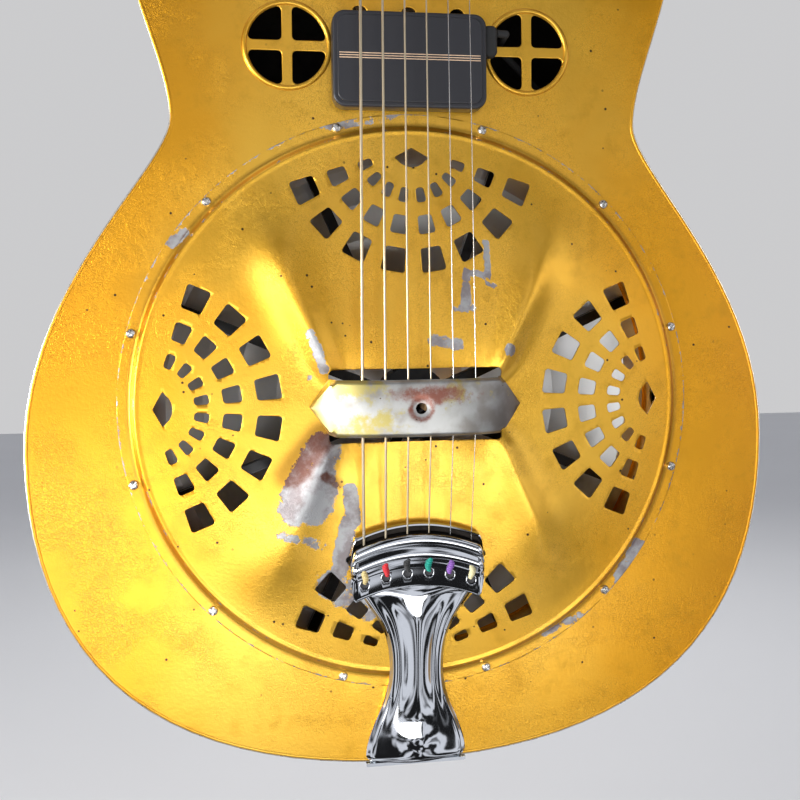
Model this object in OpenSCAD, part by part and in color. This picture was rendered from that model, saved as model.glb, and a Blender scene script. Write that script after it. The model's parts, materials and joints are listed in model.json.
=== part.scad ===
// Resonator guitar: metal body, pierced coverplate over a spun cone, square neck.
// Layout: u towards the treble side, v up the neck, w out of the top, millimetres.
// stand() sets the guitar upright: X = u, Y = -w, Z = v. Origin: end pin, mid depth.

/* [Body] */
// Half width of the lower bout
low_w = 182.5; // [176:0.5:188]
// Height of the widest line of the lower bout
low_v = 157.6; // [150:0.2:165]
// Half width of the waist
waist_w = 113.6; // [108:0.2:118]
// Height of the waist
waist_v = 315.7; // [310:0.1:322]
// Half width of the upper bout
up_w = 136.5; // [130:0.5:142]
// Height of the widest line of the upper bout
up_v = 421; // [412:1:430]
// Length of the body
body_l = 495; // [488:1:500]
// Half the depth of the body, plate to plate
half_d = 42; // [38:1:46]
// Thickness of the body sheet
sheet = 1.2; // [0.8:0.1:1.6]
// How far the plates stand out past the rim
overhang = 3; // [1:0.5:4]

/* [Windows] */
// Half distance between the round windows
win_u = 59; // [56:1:62]
// Height of the windows
win_v = 351; // [348:1:354]
// Radius of a window
win_r = 19; // [17:0.5:20]
// Width of the window cross bars
win_bar = 5; // [3:0.5:6]
// Radius of the three small sound holes
small_r = 4; // [3:0.5:5]

/* [Coverplate] */
// Height of the coverplate centre and of the bridge
bridge_v = 178; // [177:0.5:179]
// Radius of the coverplate
cover_r = 141; // [140:0.5:142]
// Radius of the screw circle
screw_ring_r = 138.5; // [138:0.25:138.5]
// Number of coverplate screws
screw_n = 12; // [8:1:14]
// Rise of the dome above the top plate
dome_rise = 13; // [11:0.5:13.5]
// Height of the handrest above the top plate
rest_rise = 30; // [29:0.5:32]

/* [Resonator] */
// Radius of the cone's flange
cone_r = 131.5; // [130:0.5:132.5]
// Inner radius of the sound well
well_r = 133; // [132.8:0.1:133.4]
// Depth of the sound well
well_depth = 31.8; // [28:0.2:32]
// Number of holes round the sound well
well_holes = 16; // [8:1:20]
// Number of spider legs
leg_n = 8; // [6:1:8]

/* [Neck] */
// Sounding length of the strings
scale_len = 635; // [625:1:640]
// Half width of the neck at the nut
nut_half = 25.4; // [25:0.1:27]
// Number of frets
fret_n = 19; // [12:1:19]
// Depth of the neck under the fretboard
neck_deep = 30; // [26:1:32]
// Thickness of the fretboard
board_t = 6.5; // [5:0.5:7]
// Backward tilt of the headstock
tilt = 13; // [8:1:16]
// Thickness of the headstock
head_t = 18; // [17:0.5:20]
// Half width of the headstock
head_half = 36; // [35:0.5:38]

/* [Strings] */
// Distance between the outer strings at the bridge
spread_bridge = 54; // [50:1:55]
// Distance between the outer strings at the nut
spread_nut = 45; // [43:1:46]
// Distance between the outer strings at the tailpiece
spread_tail = 52; // [52:1:54]

/* [Pickup] */
// Height of the pickup case above the top plate
pickup_t = 11; // [9:0.5:12]

/* [Hidden] */
$fn = 48;
air = 0.1;                        // clearance between parts of one body
run = 0.05;                       // radial clearance of a running fit
arc_n = 3;                        // steps in a rounded corner
edge_n = 11;                      // steps in one stretch of the outline
nut_v = bridge_v + scale_len;     // nut face towards the bridge
nut_t = 5;
board_w = half_d + board_t;       // playing surface
board_end = nut_v - scale_len * (1 - pow(2, -fret_n / 12)) - 4;
head_v = nut_v + nut_t;
seat = half_d - sheet - well_depth;   // top of the sound well's ledge
saddle_floor = half_d + 24;
nut_floor = half_d + 16.5;
gauge = [0.71, 0.58, 0.46, 0.36, 0.23, 0.2];   // string radii, bass to treble
stations = [50, 86, 122];         // rollers along the headstock
roller_r = 4.5;
shaft_r = 3;
plate_t = 1.2;
gear_teeth = 14;
worm_pitch = 2.4;
gear_r = gear_teeth * worm_pitch / (2 * PI);
worm_r = 2.6;
worm_off = 0.8;                   // eccentricity that forms the thread
gear_u = head_half + plate_t + 3.9;
gear_t = 2.4;
mesh_gap = gear_r + worm_r;
pin_shaft_r = 4;
pickup_u = [-38, 36.5];
pickup_v = [bridge_v + 142.5, bridge_v + 188];
gold = [0.78, 0.5, 0.14];
nickel = [0.78, 0.77, 0.74];
spun = [0.8, 0.81, 0.82];
maple = [0.72, 0.5, 0.27];
ebony = [0.1, 0.08, 0.07];
cream = [0.9, 0.86, 0.74];
black = [0.05, 0.05, 0.055];

seg_tail = [[0, 0], [122, 0], [low_w, low_v - 102], [low_w, low_v]];
seg_low = [[low_w, low_v], [low_w, low_v + 80], [waist_w, waist_v - 24], [waist_w, waist_v]];
seg_up = [[waist_w, waist_v], [waist_w, waist_v + 26], [up_w, up_v - 40], [up_w, up_v]];
seg_top = [[up_w, up_v], [up_w, up_v + 44], [78, body_l], [0, body_l]];

function bez(p, t) = pow(1 - t, 3) * p[0] + 3 * pow(1 - t, 2) * t * p[1]
    + 3 * (1 - t) * t * t * p[2] + pow(t, 3) * p[3];
function slope(p, t) = 3 * pow(1 - t, 2) * (p[1] - p[0]) + 6 * (1 - t) * t * (p[2] - p[1])
    + 3 * t * t * (p[3] - p[2]);
function run_of(p) = [for (i = [0:edge_n - 1]) bez(p, i / edge_n)];
function mirrored(p) = [for (i = [len(p) - 1:-1:0]) [-p[i][0], p[i][1]]];
function unit(a) = a / norm(a);
right_edge = concat(run_of(seg_tail), run_of(seg_low), run_of(seg_up), run_of(seg_top));
left_edge = [for (p = mirrored(right_edge)) if (p[0] < 0) p];
edge = concat(right_edge, [[0, body_l]], left_edge);

// Body outline moved inwards by d along the local normal
function outline(d) = let (n = len(edge)) [for (i = [0:n - 1])
    let (t = unit(edge[(i + 1) % n] - edge[(i + n - 1) % n])) edge[i] + d * [-t[1], t[0]]];

// Arc that rounds corner b between a and c
function corner(a, b, c, r, n) = let (
    d1 = unit(a - b), d2 = unit(c - b), half = acos(max(-1, min(1, d1 * d2))) / 2,
    mid = b + unit(d1 + d2) * r / sin(half), p1 = b + d1 * r / tan(half) - mid,
    p2 = b + d2 * r / tan(half) - mid, a1 = atan2(p1[1], p1[0]),
    sweep = (atan2(p2[1], p2[0]) - a1 + 900) % 360 - 180)
    [for (k = [0:n]) mid + r * [cos(a1 + sweep * k / n), sin(a1 + sweep * k / n)]];
function rounded(p, r, n = arc_n) = let (m = len(p))
    [for (i = [0:m - 1]) each corner(p[(i + m - 1) % m], p[i], p[(i + 1) % m], r, n)];
function box_pts(u0, u1, v0, v1) = [[u0, v0], [u1, v0], [u1, v1], [u0, v1]];

module stand() { rotate([90, 0, 0]) children(); }
module on_head() { translate([0, head_v, half_d]) rotate([-tilt, 0, 0]) children(); }
// Extrudes a (u, w) drawing along v, from v = a to v = b
module along_v(a, b) { translate([0, b, 0]) rotate([90, 0, 0]) linear_extrude(b - a) children(); }
// Extrudes a (v, w) drawing along u, from u = a to u = b
module along_u(a, b) {
    translate([a, 0, 0]) rotate([90, 0, 90]) linear_extrude(b - a) children();
}
module along_w(a, b) { translate([0, 0, a]) linear_extrude(b - a) children(); }
module pin_u(r, a, b) { translate([a, 0, 0]) rotate([0, 90, 0]) cylinder(r = r, h = b - a); }
module block(a, b) { translate(a) cube(b - a); }

// Round bar from point a to point b
module rod(a, b, r) {
    d = b - a;
    translate(a) rotate([0, acos(d[2] / norm(d)), atan2(d[1], d[0])]) cylinder(r = r, h = norm(d));
}
// Round bar through a list of points, with a ball at each bend
module route(p, r) {
    bend = 1.03;
    for (i = [0:len(p) - 2]) rod(p[i], p[i + 1], r);
    for (i = [1:len(p) - 2]) translate(p[i]) sphere(r = r * bend);
}
module bolt_ring() {
    for (k = [0:screw_n - 1]) translate([0, bridge_v, 0]) rotate((k + 0.5) * 360 / screw_n)
        translate([screw_ring_r, 0, 0]) children();
}

// ---- body shell ----
function quadrant() = let (b = win_bar / 2, a = asin(b / win_r), n = 6)
    concat([[b, b]], [for (i = [0:n]) win_r * [cos(a + (90 - 2 * a) * i / n),
    sin(a + (90 - 2 * a) * i / n)]]);
module windows() {
    for (s = [-1, 1], q = [0:3]) translate([s * win_u, win_v, 0]) rotate(q * 90)
        polygon(rounded(quadrant(), 1.8));
}
module top_plate() color(gold) stand() {
    bead = 1.1;
    small_v = win_v + 16;
    small_gap = 24;
    screw_hole_r = 1.45;
    difference() {
        union() {
            along_w(half_d - sheet, half_d) polygon(outline(0));
            for (s = [-1, 1]) translate([s * win_u, win_v, half_d - 0.05])
                rotate_extrude() translate([win_r + bead, 0]) circle(r = bead, $fn = 24);
        }
        along_w(half_d - 3, half_d + 3) windows();
        along_w(half_d - 3, half_d + 3) translate([0, bridge_v]) circle(r = well_r, $fn = 96);
        for (k = [-1:1]) translate([k * small_gap, small_v, half_d - 3]) cylinder(r = small_r, h = 6);
        bolt_ring() translate([0, 0, half_d - 3]) cylinder(r = screw_hole_r, h = 6, $fn = 24);
    }
}
module back_plate() color(gold) stand() along_w(-half_d, sheet - half_d) polygon(outline(0));

jack_t = 0.79;
jack_at = bez(seg_tail, jack_t);
jack_dir = unit([slope(seg_tail, jack_t)[1], -slope(seg_tail, jack_t)[0]]);
// Puts +Z along the jack, out of the body, with its origin on the rim's outer face
module at_jack() {
    p = jack_at - overhang * jack_dir;
    translate([p[0], p[1], 0]) rotate([0, 90, atan2(jack_dir[1], jack_dir[0])]) children();
}
jack_neck_r = 4.7;
module rim_band() color(gold) stand() difference() {
    seam = 0.3;
    along_w(sheet - half_d, half_d - sheet) difference() {
        polygon(outline(overhang));
        polygon(outline(overhang + sheet));
    }
    rod([0, -1, 0], [0, 20, 0], pin_shaft_r + air);
    at_jack() translate([0, 0, -6]) cylinder(r = jack_neck_r + air, h = 12);
    // Open seams at the tail, at the neck and at both sides of the waist
    block([-seam / 2, -1, -half_d], [seam / 2, body_l + 1, half_d]);
    block([-low_w, waist_v - seam / 2, -half_d], [low_w, waist_v + seam / 2, half_d]);
}
module sound_well() color(gold) stand() translate([0, bridge_v, 0]) difference() {
    rim = half_d - sheet;
    ledge = 10;
    hole_r = 8;
    rotate_extrude($fn = 96) polygon([[well_r, rim], [well_r + sheet, rim], [well_r + sheet, seat - sheet],
        [well_r - ledge, seat - sheet], [well_r - ledge, seat], [well_r, seat]]);
    for (k = [0:well_holes - 1]) rotate(k * 360 / well_holes) translate([0, 0, (rim + seat) / 2])
        pin_u(hole_r, well_r - 2, well_r + 4);
}
module tail_block() color(maple) stand() difference() {
    block_half = 30;
    block_v = 30;
    along_w(sheet - half_d, half_d - sheet) intersection() {
        polygon(outline(overhang + sheet));
        polygon(box_pts(-block_half, block_half, -5, block_v));
    }
    rod([0, -1, 0], [0, block_v - 4, 0], pin_shaft_r + air);
}
module neck_stick() color(maple) stand() intersection() {
    union() {
        block([-20, 30, -38], [20, 480, -20]);
        block([-26, 462, -38], [26, 500, 38]);
    }
    along_w(sheet - half_d, half_d - sheet) polygon(outline(overhang + sheet));
}
module end_pin() color(black) stand() rotate([90, 0, 0]) rotate_extrude()
    polygon([[0, -25], [pin_shaft_r, -25], [pin_shaft_r, 2.1], [8, 2.1], [8, 3.6], [5, 5.2],
        [4.2, 8], [6.2, 10.6], [6.6, 12.6], [5.4, 14.4], [0, 15]]);

// ---- coverplate ----
bead_r = 131.5;
bead_w = half_d + 4.4;
function dome_w(r) = bead_w + (half_d + dome_rise - bead_w) * (1 - pow(r / bead_r, 1.2));
function dome(n) = [for (k = [0:n]) let (r = bead_r * (1 - k / n)) [r, dome_w(r)]];
// Fan holes, drawn with the rim at the top: three curved rows and one lens
fan_focus = 125.5;
fan_rows = [[24.4, 7.1, 4.3], [38.8, 9, 7.6], [56, 11.8, 11]];
fan_spokes = [-67, -47.8, -28.7, -9.6, 9.6, 28.7, 47.8, 67];
module fan() {
    for (row = fan_rows, a = fan_spokes) translate([0, fan_focus]) rotate(a) translate([0, -row[0]]) {
        flare = row[2] / 2 * row[1] / 2 / row[0];
        polygon(rounded([[-row[2] / 2 - flare, -row[1] / 2], [row[2] / 2 + flare, -row[1] / 2],
            [row[2] / 2 - flare, row[1] / 2], [-row[2] / 2 + flare, row[1] / 2]], 1.3));
    }
    polygon(rounded([[-8.7, 119.4], [-4.5, 115.9], [0, 114.8], [4.5, 115.9], [8.7, 119.4],
        [0, 124.3]], 0.9));
}
rest_tip = 50.5;
rest_side = 42;
rest_foot = 17.5;
rest_top = 13;
// Handrest: a pressed strap over the bridge, six-sided in plan, arched along its length;
// t shrinks it
module handrest(t) {
    roof = half_d + rest_rise - t;
    low = half_d + 2;
    intersection() {
        along_w(low, roof) polygon([[-rest_tip + t * 1.6, 0], [-rest_side + t, -rest_foot + t],
            [rest_side - t, -rest_foot + t], [rest_tip - t * 1.6, 0],
            [rest_side - t, rest_foot - t], [-rest_side + t, rest_foot - t]]);
        along_v(-30, 30) polygon([[-60, low], [60, low], [60, roof - 22], [rest_tip - t, roof - 15],
            [rest_side - t, roof - 2.4], [22, roof - 0.3], [0, roof], [-22, roof - 0.3],
            [-rest_side + t, roof - 2.4], [-rest_tip + t, roof - 15], [-60, roof - 22]]);
        along_u(-60, 60) polygon([[-rest_foot + t, low], [rest_foot - t, low],
            [rest_foot - t, roof - 14], [rest_top - t, roof - 1.6], [rest_top - 3 - t, roof],
            [3 - rest_top + t, roof], [t - rest_top, roof - 1.6], [t - rest_foot, roof - 14]]);
    }
}
module coverplate() color(gold) stand() translate([0, bridge_v, 0]) {
    skin = 1;
    bead_pts = [[cover_r, half_d], [cover_r, half_d + skin], [136, half_d + skin],
        [135.2, half_d + 2.6], [134, half_d + 4], [132.8, half_d + 4.6]];
    inner = [for (p = dome(14)) [p[0], p[1] - skin]];
    inner_up = [for (i = [len(inner) - 1:-1:1]) inner[i]];
    gap_half = 42;
    gap_v = 18;
    strap_t = 3.6;
    difference() {
        union() {
            rotate_extrude($fn = 96) polygon(concat(bead_pts, dome(14), inner_up,
                [[132.2, half_d + 3.4], [133.4, half_d + 2.6], [134.6, half_d]]));
            handrest(0);
        }
        handrest(1.2);
        along_w(half_d, half_d + 30) for (q = [0:3]) rotate(q * 90) fan();
        along_w(half_d + 2, half_d + rest_rise - strap_t)
            polygon(rounded(box_pts(-gap_half, gap_half, -gap_v, gap_v), 2.4));
        translate([0, 0, half_d + rest_rise - 4]) cylinder(r = 2.65, h = 8);
        translate([0, 0, half_d + rest_rise - 0.5]) cylinder(r = 4.45, h = 8);
        translate([0, -bridge_v, 0]) bolt_ring() translate([0, 0, half_d - 1]) cylinder(r = 1.45, h = 4);
    }
}
module coverplate_screws() color(nickel) stand() bolt_ring() translate([0, 0, half_d + 1]) difference() {
    rotate_extrude() polygon([[0, -6], [0.7, -6], [1.3, -4.5], [1.3, 0], [2.35, 0], [2.25, 0.6],
        [1.8, 1.2], [1.1, 1.55], [0, 1.7]]);
    rotate(37) block([-3, -0.35, 1], [3, 0.35, 2]);
}
module resonator_cone() color(spun) stand() translate([0, bridge_v, 0]) {
    t = 0.8;
    shape = [[cone_r, seat], [122, seat], [118, seat - 2.4], [104, seat - 10], [86, seat - 17.5],
        [66, seat - 22.5], [48, seat - 24.5], [38, seat - 23], [24, seat - 15], [10, seat - 7.4],
        [0, seat - 6]];
    top = [for (i = [len(shape) - 1:-1:0]) shape[i] + [0, t]];
    rotate_extrude($fn = 96) polygon(concat(shape, top));
}
spider_foot = seat + 0.8;
bar_top = half_d + 16;
saddle_t = 3;
module spider_bridge() color(spun) stand() translate([0, bridge_v, 0]) difference() {
    hub_w = 32;
    leg_t = 5;
    union() {
        for (k = [0:leg_n - 1]) rotate((k + 0.5) * 360 / leg_n) along_v(-leg_t / 2, leg_t / 2)
            polygon([[130, spider_foot], [130, spider_foot + 4], [124, spider_foot + 6],
                [70, hub_w - 2], [10, hub_w + 9], [10, hub_w], [66, hub_w - 9], [120, spider_foot + 2],
                [123, spider_foot]]);
        translate([0, 0, hub_w - 2]) cylinder(r = 18, h = 14);
        block([-31, -5, hub_w + 8], [31, 5, bar_top]);
    }
    block([-32, -saddle_t / 2 - air, bar_top - 8], [32, saddle_t / 2 + air, bar_top + 1]);
    translate([0, 0, 20]) cylinder(r = 2.1, h = 60);
    translate([0, 0, 44]) cylinder(r = 3.6, h = 30);
}
module spider_screw() color(nickel) stand() translate([0, bridge_v, 0]) difference() {
    tip = seat - 6 + 0.8;
    rotate_extrude() polygon([[0, tip], [2, tip], [2, 44], [3.2, 44], [3.2, 45.6], [2.4, 46.4], [0, 46.6]]);
    block([-4, -0.4, 45.8], [4, 0.4, 48]);
}
function string_u(i, spread) = -spread / 2 + i * spread / 5;
module saddle(s) difference() {
    along_u(s > 0 ? 2.2 : -29, s > 0 ? 29 : -2.2) translate([bridge_v, 0])
        polygon([[-saddle_t / 2, bar_top - 8], [saddle_t / 2, bar_top - 8],
            [saddle_t / 2, saddle_floor + 0.2], [1, saddle_floor + 0.9], [-1, saddle_floor + 0.9],
            [-saddle_t / 2, saddle_floor + 0.2]]);
    for (i = [0:5]) block([string_u(i, spread_bridge) - gauge[i] - 0.15, bridge_v - 4, saddle_floor],
        [string_u(i, spread_bridge) + gauge[i] + 0.15, bridge_v + 4, saddle_floor + 3]);
}
module saddle_bass() color(maple) stand() saddle(-1);
module saddle_treble() color(maple) stand() saddle(1);

// ---- neck ----
function board_half(v) = nut_half + (spread_bridge - spread_nut) / 2 * (nut_v - v) / scale_len * 1.03;
function taper(a, b) = [[-board_half(a), a], [board_half(a), a], [board_half(b), b], [-board_half(b), b]];
function half_mirror(p) = concat(p, mirrored(p));
plate_screws = [-9, 26, 62, 86];
module head_drill(r, a, b) {
    for (s = [-1, 1]) translate([s * (a + b) / 2, 0, 0]) pin_u(r, (a - b) / 2, (b - a) / 2);
}
module neck() color(maple) stand() difference() {
    heel_w = -34;
    slot_u = 18;
    slot_s = [36, 140];
    slot_half = 8;
    union() {
        intersection() {
            along_w(heel_w, half_d) polygon(taper(480, head_v));
            along_u(-40, 40) polygon([[480, half_d], [head_v, half_d], [head_v, half_d - 20],
                [796, half_d - neck_deep], [548, half_d - neck_deep], [528, half_d - neck_deep - 5],
                [512, half_d - neck_deep - 20], [504, heel_w + 8], [500, heel_w], [480, heel_w]]);
        }
        on_head() along_w(-head_t, 0) polygon(half_mirror([[nut_half, 0], [nut_half, 5],
            [head_half - 3, 16], [head_half, 22], [head_half, 152], [head_half - 5, 168],
            [20, 173], [12, 170], [6, 174]]));
    }
    along_w(heel_w - 1, half_d - sheet) polygon(outline(overhang));
    along_w(half_d - sheet, half_d + 1) polygon(outline(0));
    for (s = [-1, 1]) on_head() {
        along_w(-head_t - 1, 1) translate([s * slot_u - slot_half, slot_s[0]])
            square([2 * slot_half, slot_s[1] - slot_s[0]]);
        for (e = slot_s) translate([s * slot_u, e, -head_t - 1]) cylinder(r = slot_half, h = head_t + 2);
    }
    on_head() for (p = stations) translate([0, p, -head_t / 2]) head_drill(roller_r + run, 6, head_half + 1);
    on_head() for (p = plate_screws) translate([0, stations[0] + p, -head_t / 2])
        head_drill(1.1, head_half - 8, head_half + 1);
}
module fretboard() color(ebony) stand() difference() {
    along_w(half_d, board_w) polygon(taper(board_end, nut_v));
    markers(1);
}
function fret_v(n) = nut_v - scale_len * (1 - pow(2, -n / 12));
module markers(deep) {
    dot_r = 3;
    for (n = [5, 7, 9, 15, 17]) translate([0, (fret_v(n) + fret_v(n - 1)) / 2, board_w - deep])
        cylinder(r = dot_r, h = deep);
    for (s = [-1, 1]) translate([s * 13, (fret_v(12) + fret_v(11)) / 2, board_w - deep])
        cylinder(r = dot_r, h = deep);
}
module fret_markers() color(cream) stand() markers(1);
module frets() color(nickel) stand() difference() {
    crown_r = 1.4;
    for (n = [1:fret_n]) translate([0, fret_v(n), board_w - 0.5])
        pin_u(crown_r, -board_half(fret_v(n)) + 0.3, board_half(fret_v(n)) - 0.3);
    block([-40, board_end - 9, board_w - 5], [40, nut_v, board_w]);
}
module nut() color(nickel) stand() difference() {
    block([-nut_half, nut_v, half_d], [nut_half, head_v, nut_floor + 1]);
    for (i = [0:5]) block([string_u(i, spread_nut) - gauge[i] - 0.15, nut_v - 1, nut_floor],
        [string_u(i, spread_nut) + gauge[i] + 0.15, head_v + 1, nut_floor + 3]);
}

// ---- tailpiece and strings ----
ball_v = 106;
ball_r = 2;
ball_w = half_d + 13.2;
head_top = half_d + 17.6;
function strap_edge() = [for (k = [0:8]) bez([[24.5, -1], [22, 40], [11, 44], [13.5, 62]], k / 8)];
function head_edge() = [for (k = [1:6]) bez([[13.5, 62], [15, 78], [18, 88], [30, 90.5]], k / 6)];
module ball_line(r) {
    for (i = [0:5]) rod([string_u(i, spread_tail), ball_v, ball_w],
        [string_u(i, spread_bridge), bridge_v, saddle_floor + 0.5], r);
}
module tailpiece() color(nickel) stand() difference() {
    strap_t = 1.6;
    head_low = half_d + 10.4;
    union() {
        intersection() {
            along_w(half_d, half_d + 20) polygon(half_mirror(concat(strap_edge(), head_edge(),
                [[32.5, 94], [32.5, 112], [29, 115.5], [18, 118], [6, 119]])));
            along_u(-40, 40) polygon([[-2, half_d + 2.2], [-1.2, half_d + 3], [88, head_top - 5.2],
                [93, head_top - 1.4], [98, head_top], [112, head_top], [117, head_top - 1],
                [120, head_top - 3.4], [120, head_low + 1], [114, head_low], [92, head_low],
                [88, head_top - 6.8], [0, half_d + 3 - strap_t], [-2, half_d + 0.6]]);
        }
        along_v(-2, -0.4) polygon(half_mirror([[24.5, half_d + 1.4], [24, half_d - 14],
            [14, 6], [10, -8], [5, -12]]));
        translate([0, 22, half_d + 0.6]) intersection() {
            sphere(r = 8);
            translate([0, 0, 4]) cylinder(r = 7, h = 5);
        }
    }
    for (i = [0:5]) translate([string_u(i, spread_tail), ball_v, ball_w - 1.8])
        cylinder(r = ball_r + 0.6, h = 12, $fn = 32);
    ball_line(1.3);
    rod([0, -5, 0], [0, 5, 0], pin_shaft_r + air);
}
module ball_ends() color([0.7, 0.55, 0.25]) stand() for (i = [0:5])
    translate([string_u(i, spread_tail), ball_v, ball_w - 1.8]) cylinder(r = ball_r, h = 3.6, $fn = 32);
function head_pt(s, h) = [head_v + s * cos(tilt) + h * sin(tilt), half_d - s * sin(tilt) + h * cos(tilt)];
module guitar_string(number) {
    i = 6 - number;
    r = gauge[i];
    bass = i < 3;
    order = bass ? i : 5 - i;
    axis = head_pt(stations[order], -head_t / 2);
    wrap_r = roller_r + 0.15 + r;
    wrap_u = (bass ? -1 : 1) * (22 - 4.2 * order);
    back = bridge_v - saddle_t / 2 - 0.2;
    saddle_pt = [string_u(i, spread_bridge), back, saddle_floor + r + air];
    nut_pt = [string_u(i, spread_nut), head_v + 0.2, nut_floor + r + air];
    tail_u = string_u(i, spread_tail);
    tail_pt = [tail_u, ball_v, ball_w] + unit(saddle_pt - [tail_u, ball_v, ball_w]) * (ball_r + 0.15);
    d = [nut_pt[1], nut_pt[2]] - axis;
    touch = atan2(d[1], d[0]) - acos(wrap_r / norm(d));
    end_pt = [wrap_u, axis[0] + wrap_r * cos(touch), axis[1] + wrap_r * sin(touch)];
    color(i < 4 ? [0.72, 0.66, 0.52] : nickel) stand() {
        route([tail_pt, saddle_pt, nut_pt, end_pt], r);
        translate([wrap_u, axis[0], axis[1]]) rotate([0, 90, 0]) rotate_extrude()
            for (k = [0:2]) translate([wrap_r, (bass ? -1 : 1) * (k * 1.9 - 0.4) * r])
                circle(r = r * 1.04, $fn = 16);
    }
}
module string_1() guitar_string(1);
module string_2() guitar_string(2);
module string_3() guitar_string(3);
module string_4() guitar_string(4);
module string_5() guitar_string(5);
module string_6() guitar_string(6);

// ---- pickup, lead and jack ----
function inset_box(d) = box_pts(pickup_u[0] + d, pickup_u[1] - d, pickup_v[0] + d, pickup_v[1] - d);
module pickup_case() color(black) stand() {
    step = 1.2;
    along_w(half_d, half_d + pickup_t - step) polygon(rounded(inset_box(0), 6, 6));
    along_w(half_d + pickup_t - step, half_d + pickup_t) polygon(rounded(inset_box(1.2), 5, 6));
}
module pickup_stripes() color([0.78, 0.6, 0.45]) stand() for (k = [-1:1])
    translate([0, bridge_v + 166.5 + k * 1.15, half_d + pickup_t])
        block([pickup_u[0] + 2.5, -0.2, 0], [pickup_u[1] - 2.5, 0.2, 0.15]);
boot_v = bridge_v + 176;
module pickup_boot() color(black) stand() {
    u = pickup_u[1];
    along_w(half_d + 1.4, half_d + 8) polygon(rounded(box_pts(u, u + 6, boot_v - 7.5, boot_v + 7.5), 2));
}
lead_r = 1.8;
module pickup_lead() color(black) stand() {
    u = pickup_u[1] + 6.1;
    p = jack_at - 33.5 * jack_dir;
    route([[u, boot_v + 4.5, half_d + 4.6], [u + 5, boot_v + 4.5, half_d + 3.6], [u + 7, boot_v + 4.5, 20],
        [92, 330, -6], [142, 240, -17], [158, 165, -14], [p[0], p[1] + 14, -5], [p[0], p[1], 0]], lead_r);
}
module output_jack() color(nickel) stand() at_jack() difference() {
    shoulder = sheet + 0.7;
    union() {
        translate([0, 0, -28]) cylinder(r = 7, h = 28 - shoulder);
        translate([0, 0, -shoulder]) cylinder(r = jack_neck_r, h = shoulder + 4.6);
    }
    translate([0, 0, -20]) cylinder(r = 3.2, h = 30);
}
module jack_nut() color(nickel) stand() at_jack() difference() {
    union() {
        cylinder(r = 8, h = 0.8);
        translate([0, 0, 0.8]) cylinder(r = 7, h = 2.6, $fn = 6);
    }
    translate([0, 0, -1]) cylinder(r = jack_neck_r + air, h = 6);
}

// ---- tuners ----
lug_r = 2.5;
worm_len = 3 * worm_pitch;
worm_shaft_r = 1.5;
module tuner_plate(s) on_head() difference() {
    a = head_half;
    low = [stations[0] - 16, stations[2] + 16];
    lug_s = [worm_len / 2 + 0.6, worm_len / 2 + 2.6];
    union() {
        along_u(s > 0 ? a : -a - plate_t, s > 0 ? a + plate_t : -a)
            polygon(rounded(box_pts(low[0], low[1], -head_t + 2, -2), 4));
        for (p = stations, h = [-1, 1]) {
            mid = -head_t / 2 + h * (lug_s[0] + lug_s[1]) / 2;
            translate([s * (a + plate_t / 2 + gear_u + lug_r) / 2, p + mesh_gap, mid])
                cube([gear_u + lug_r - a - plate_t / 2, 2 * lug_r, lug_s[1] - lug_s[0]], center = true);
        }
    }
    for (p = stations) translate([0, p, -head_t / 2]) pin_u(shaft_r + run, -60, 60);
    for (p = stations) translate([s * gear_u, p + mesh_gap, -head_t])
        cylinder(r = worm_shaft_r + run, h = head_t);
    for (p = plate_screws) translate([0, stations[0] + p, -head_t / 2]) pin_u(1.1, -60, 60);
}
module tuner_plate_bass() color(nickel) stand() tuner_plate(-1);
module tuner_plate_treble() color(nickel) stand() tuner_plate(1);
module tuner_plate_screws() color(nickel) stand() on_head() for (s = [-1, 1], p = plate_screws) {
    translate([s * (head_half + plate_t), stations[0] + p, -head_t / 2]) rotate([0, s * 90, 0])
        difference() {
            rotate_extrude() polygon([[0, -7], [1, -6], [1, 0], [2, 0], [1.7, 0.7], [0.9, 1.1], [0, 1.2]]);
            block([-2.5, -0.25, 0.7], [2.5, 0.25, 2]);
        }
}
// Numbers run from the treble string to the bass string
function side(number) = number < 4 ? 1 : -1;
function station(number) = stations[number < 4 ? number - 1 : 6 - number];
module at_roller(number) { stand() on_head() translate([0, station(number), -head_t / 2]) children(); }
module roller(number) color(cream) at_roller(number) {
    far = gear_u - gear_t / 2;
    step = head_half - 0.3;
    s = side(number);
    pin_u(roller_r, s > 0 ? 6.3 : -step, s > 0 ? step : -6.3);
    pin_u(shaft_r, s > 0 ? step : -far - gear_t, s > 0 ? far + gear_t : -step);
}
module gear(number) color([0.8, 0.62, 0.3]) at_roller(number) difference() {
    root_r = gear_r - 0.8;
    tip_r = gear_r + 0.6;
    s = side(number);
    union() {
        translate([s * gear_u, 0, 0]) along_u(-gear_t / 2, gear_t / 2) union() {
            circle(r = root_r);
            for (k = [0:gear_teeth - 1]) rotate(k * 360 / gear_teeth)
                polygon([[root_r - 1, -0.75], [root_r, -0.6], [gear_r, -0.36], [tip_r, -0.15],
                    [tip_r, 0.15], [gear_r, 0.36], [root_r, 0.6], [root_r - 1, 0.75]]);
        }
        translate([s * (gear_u + gear_t / 2 + 0.6), 0, 0]) pin_u(3.6, -0.6, 0.6);
    }
    pin_u(shaft_r, -gear_u - gear_t / 2, gear_u + gear_t / 2);
    translate([s * (gear_u + gear_t / 2 + 1.2), 0, 0]) cube([0.8, 9, 0.8], center = true);
}
module at_worm(number) {
    at_roller(number) translate([side(number) * gear_u, mesh_gap, 0]) children();
}
button_top = -14;
module worm(number) color(nickel) at_worm(number) {
    turns = worm_len / worm_pitch;
    translate([0, 0, -worm_len / 2]) linear_extrude(worm_len, twist = -360 * turns, slices = 27, $fn = 13)
        rotate(90 - 180 * turns) translate([worm_off, 0]) circle(r = worm_r);
    translate([0, 0, button_top]) cylinder(r = worm_shaft_r, h = worm_len / 2 + 3.4 - button_top);
}
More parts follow.
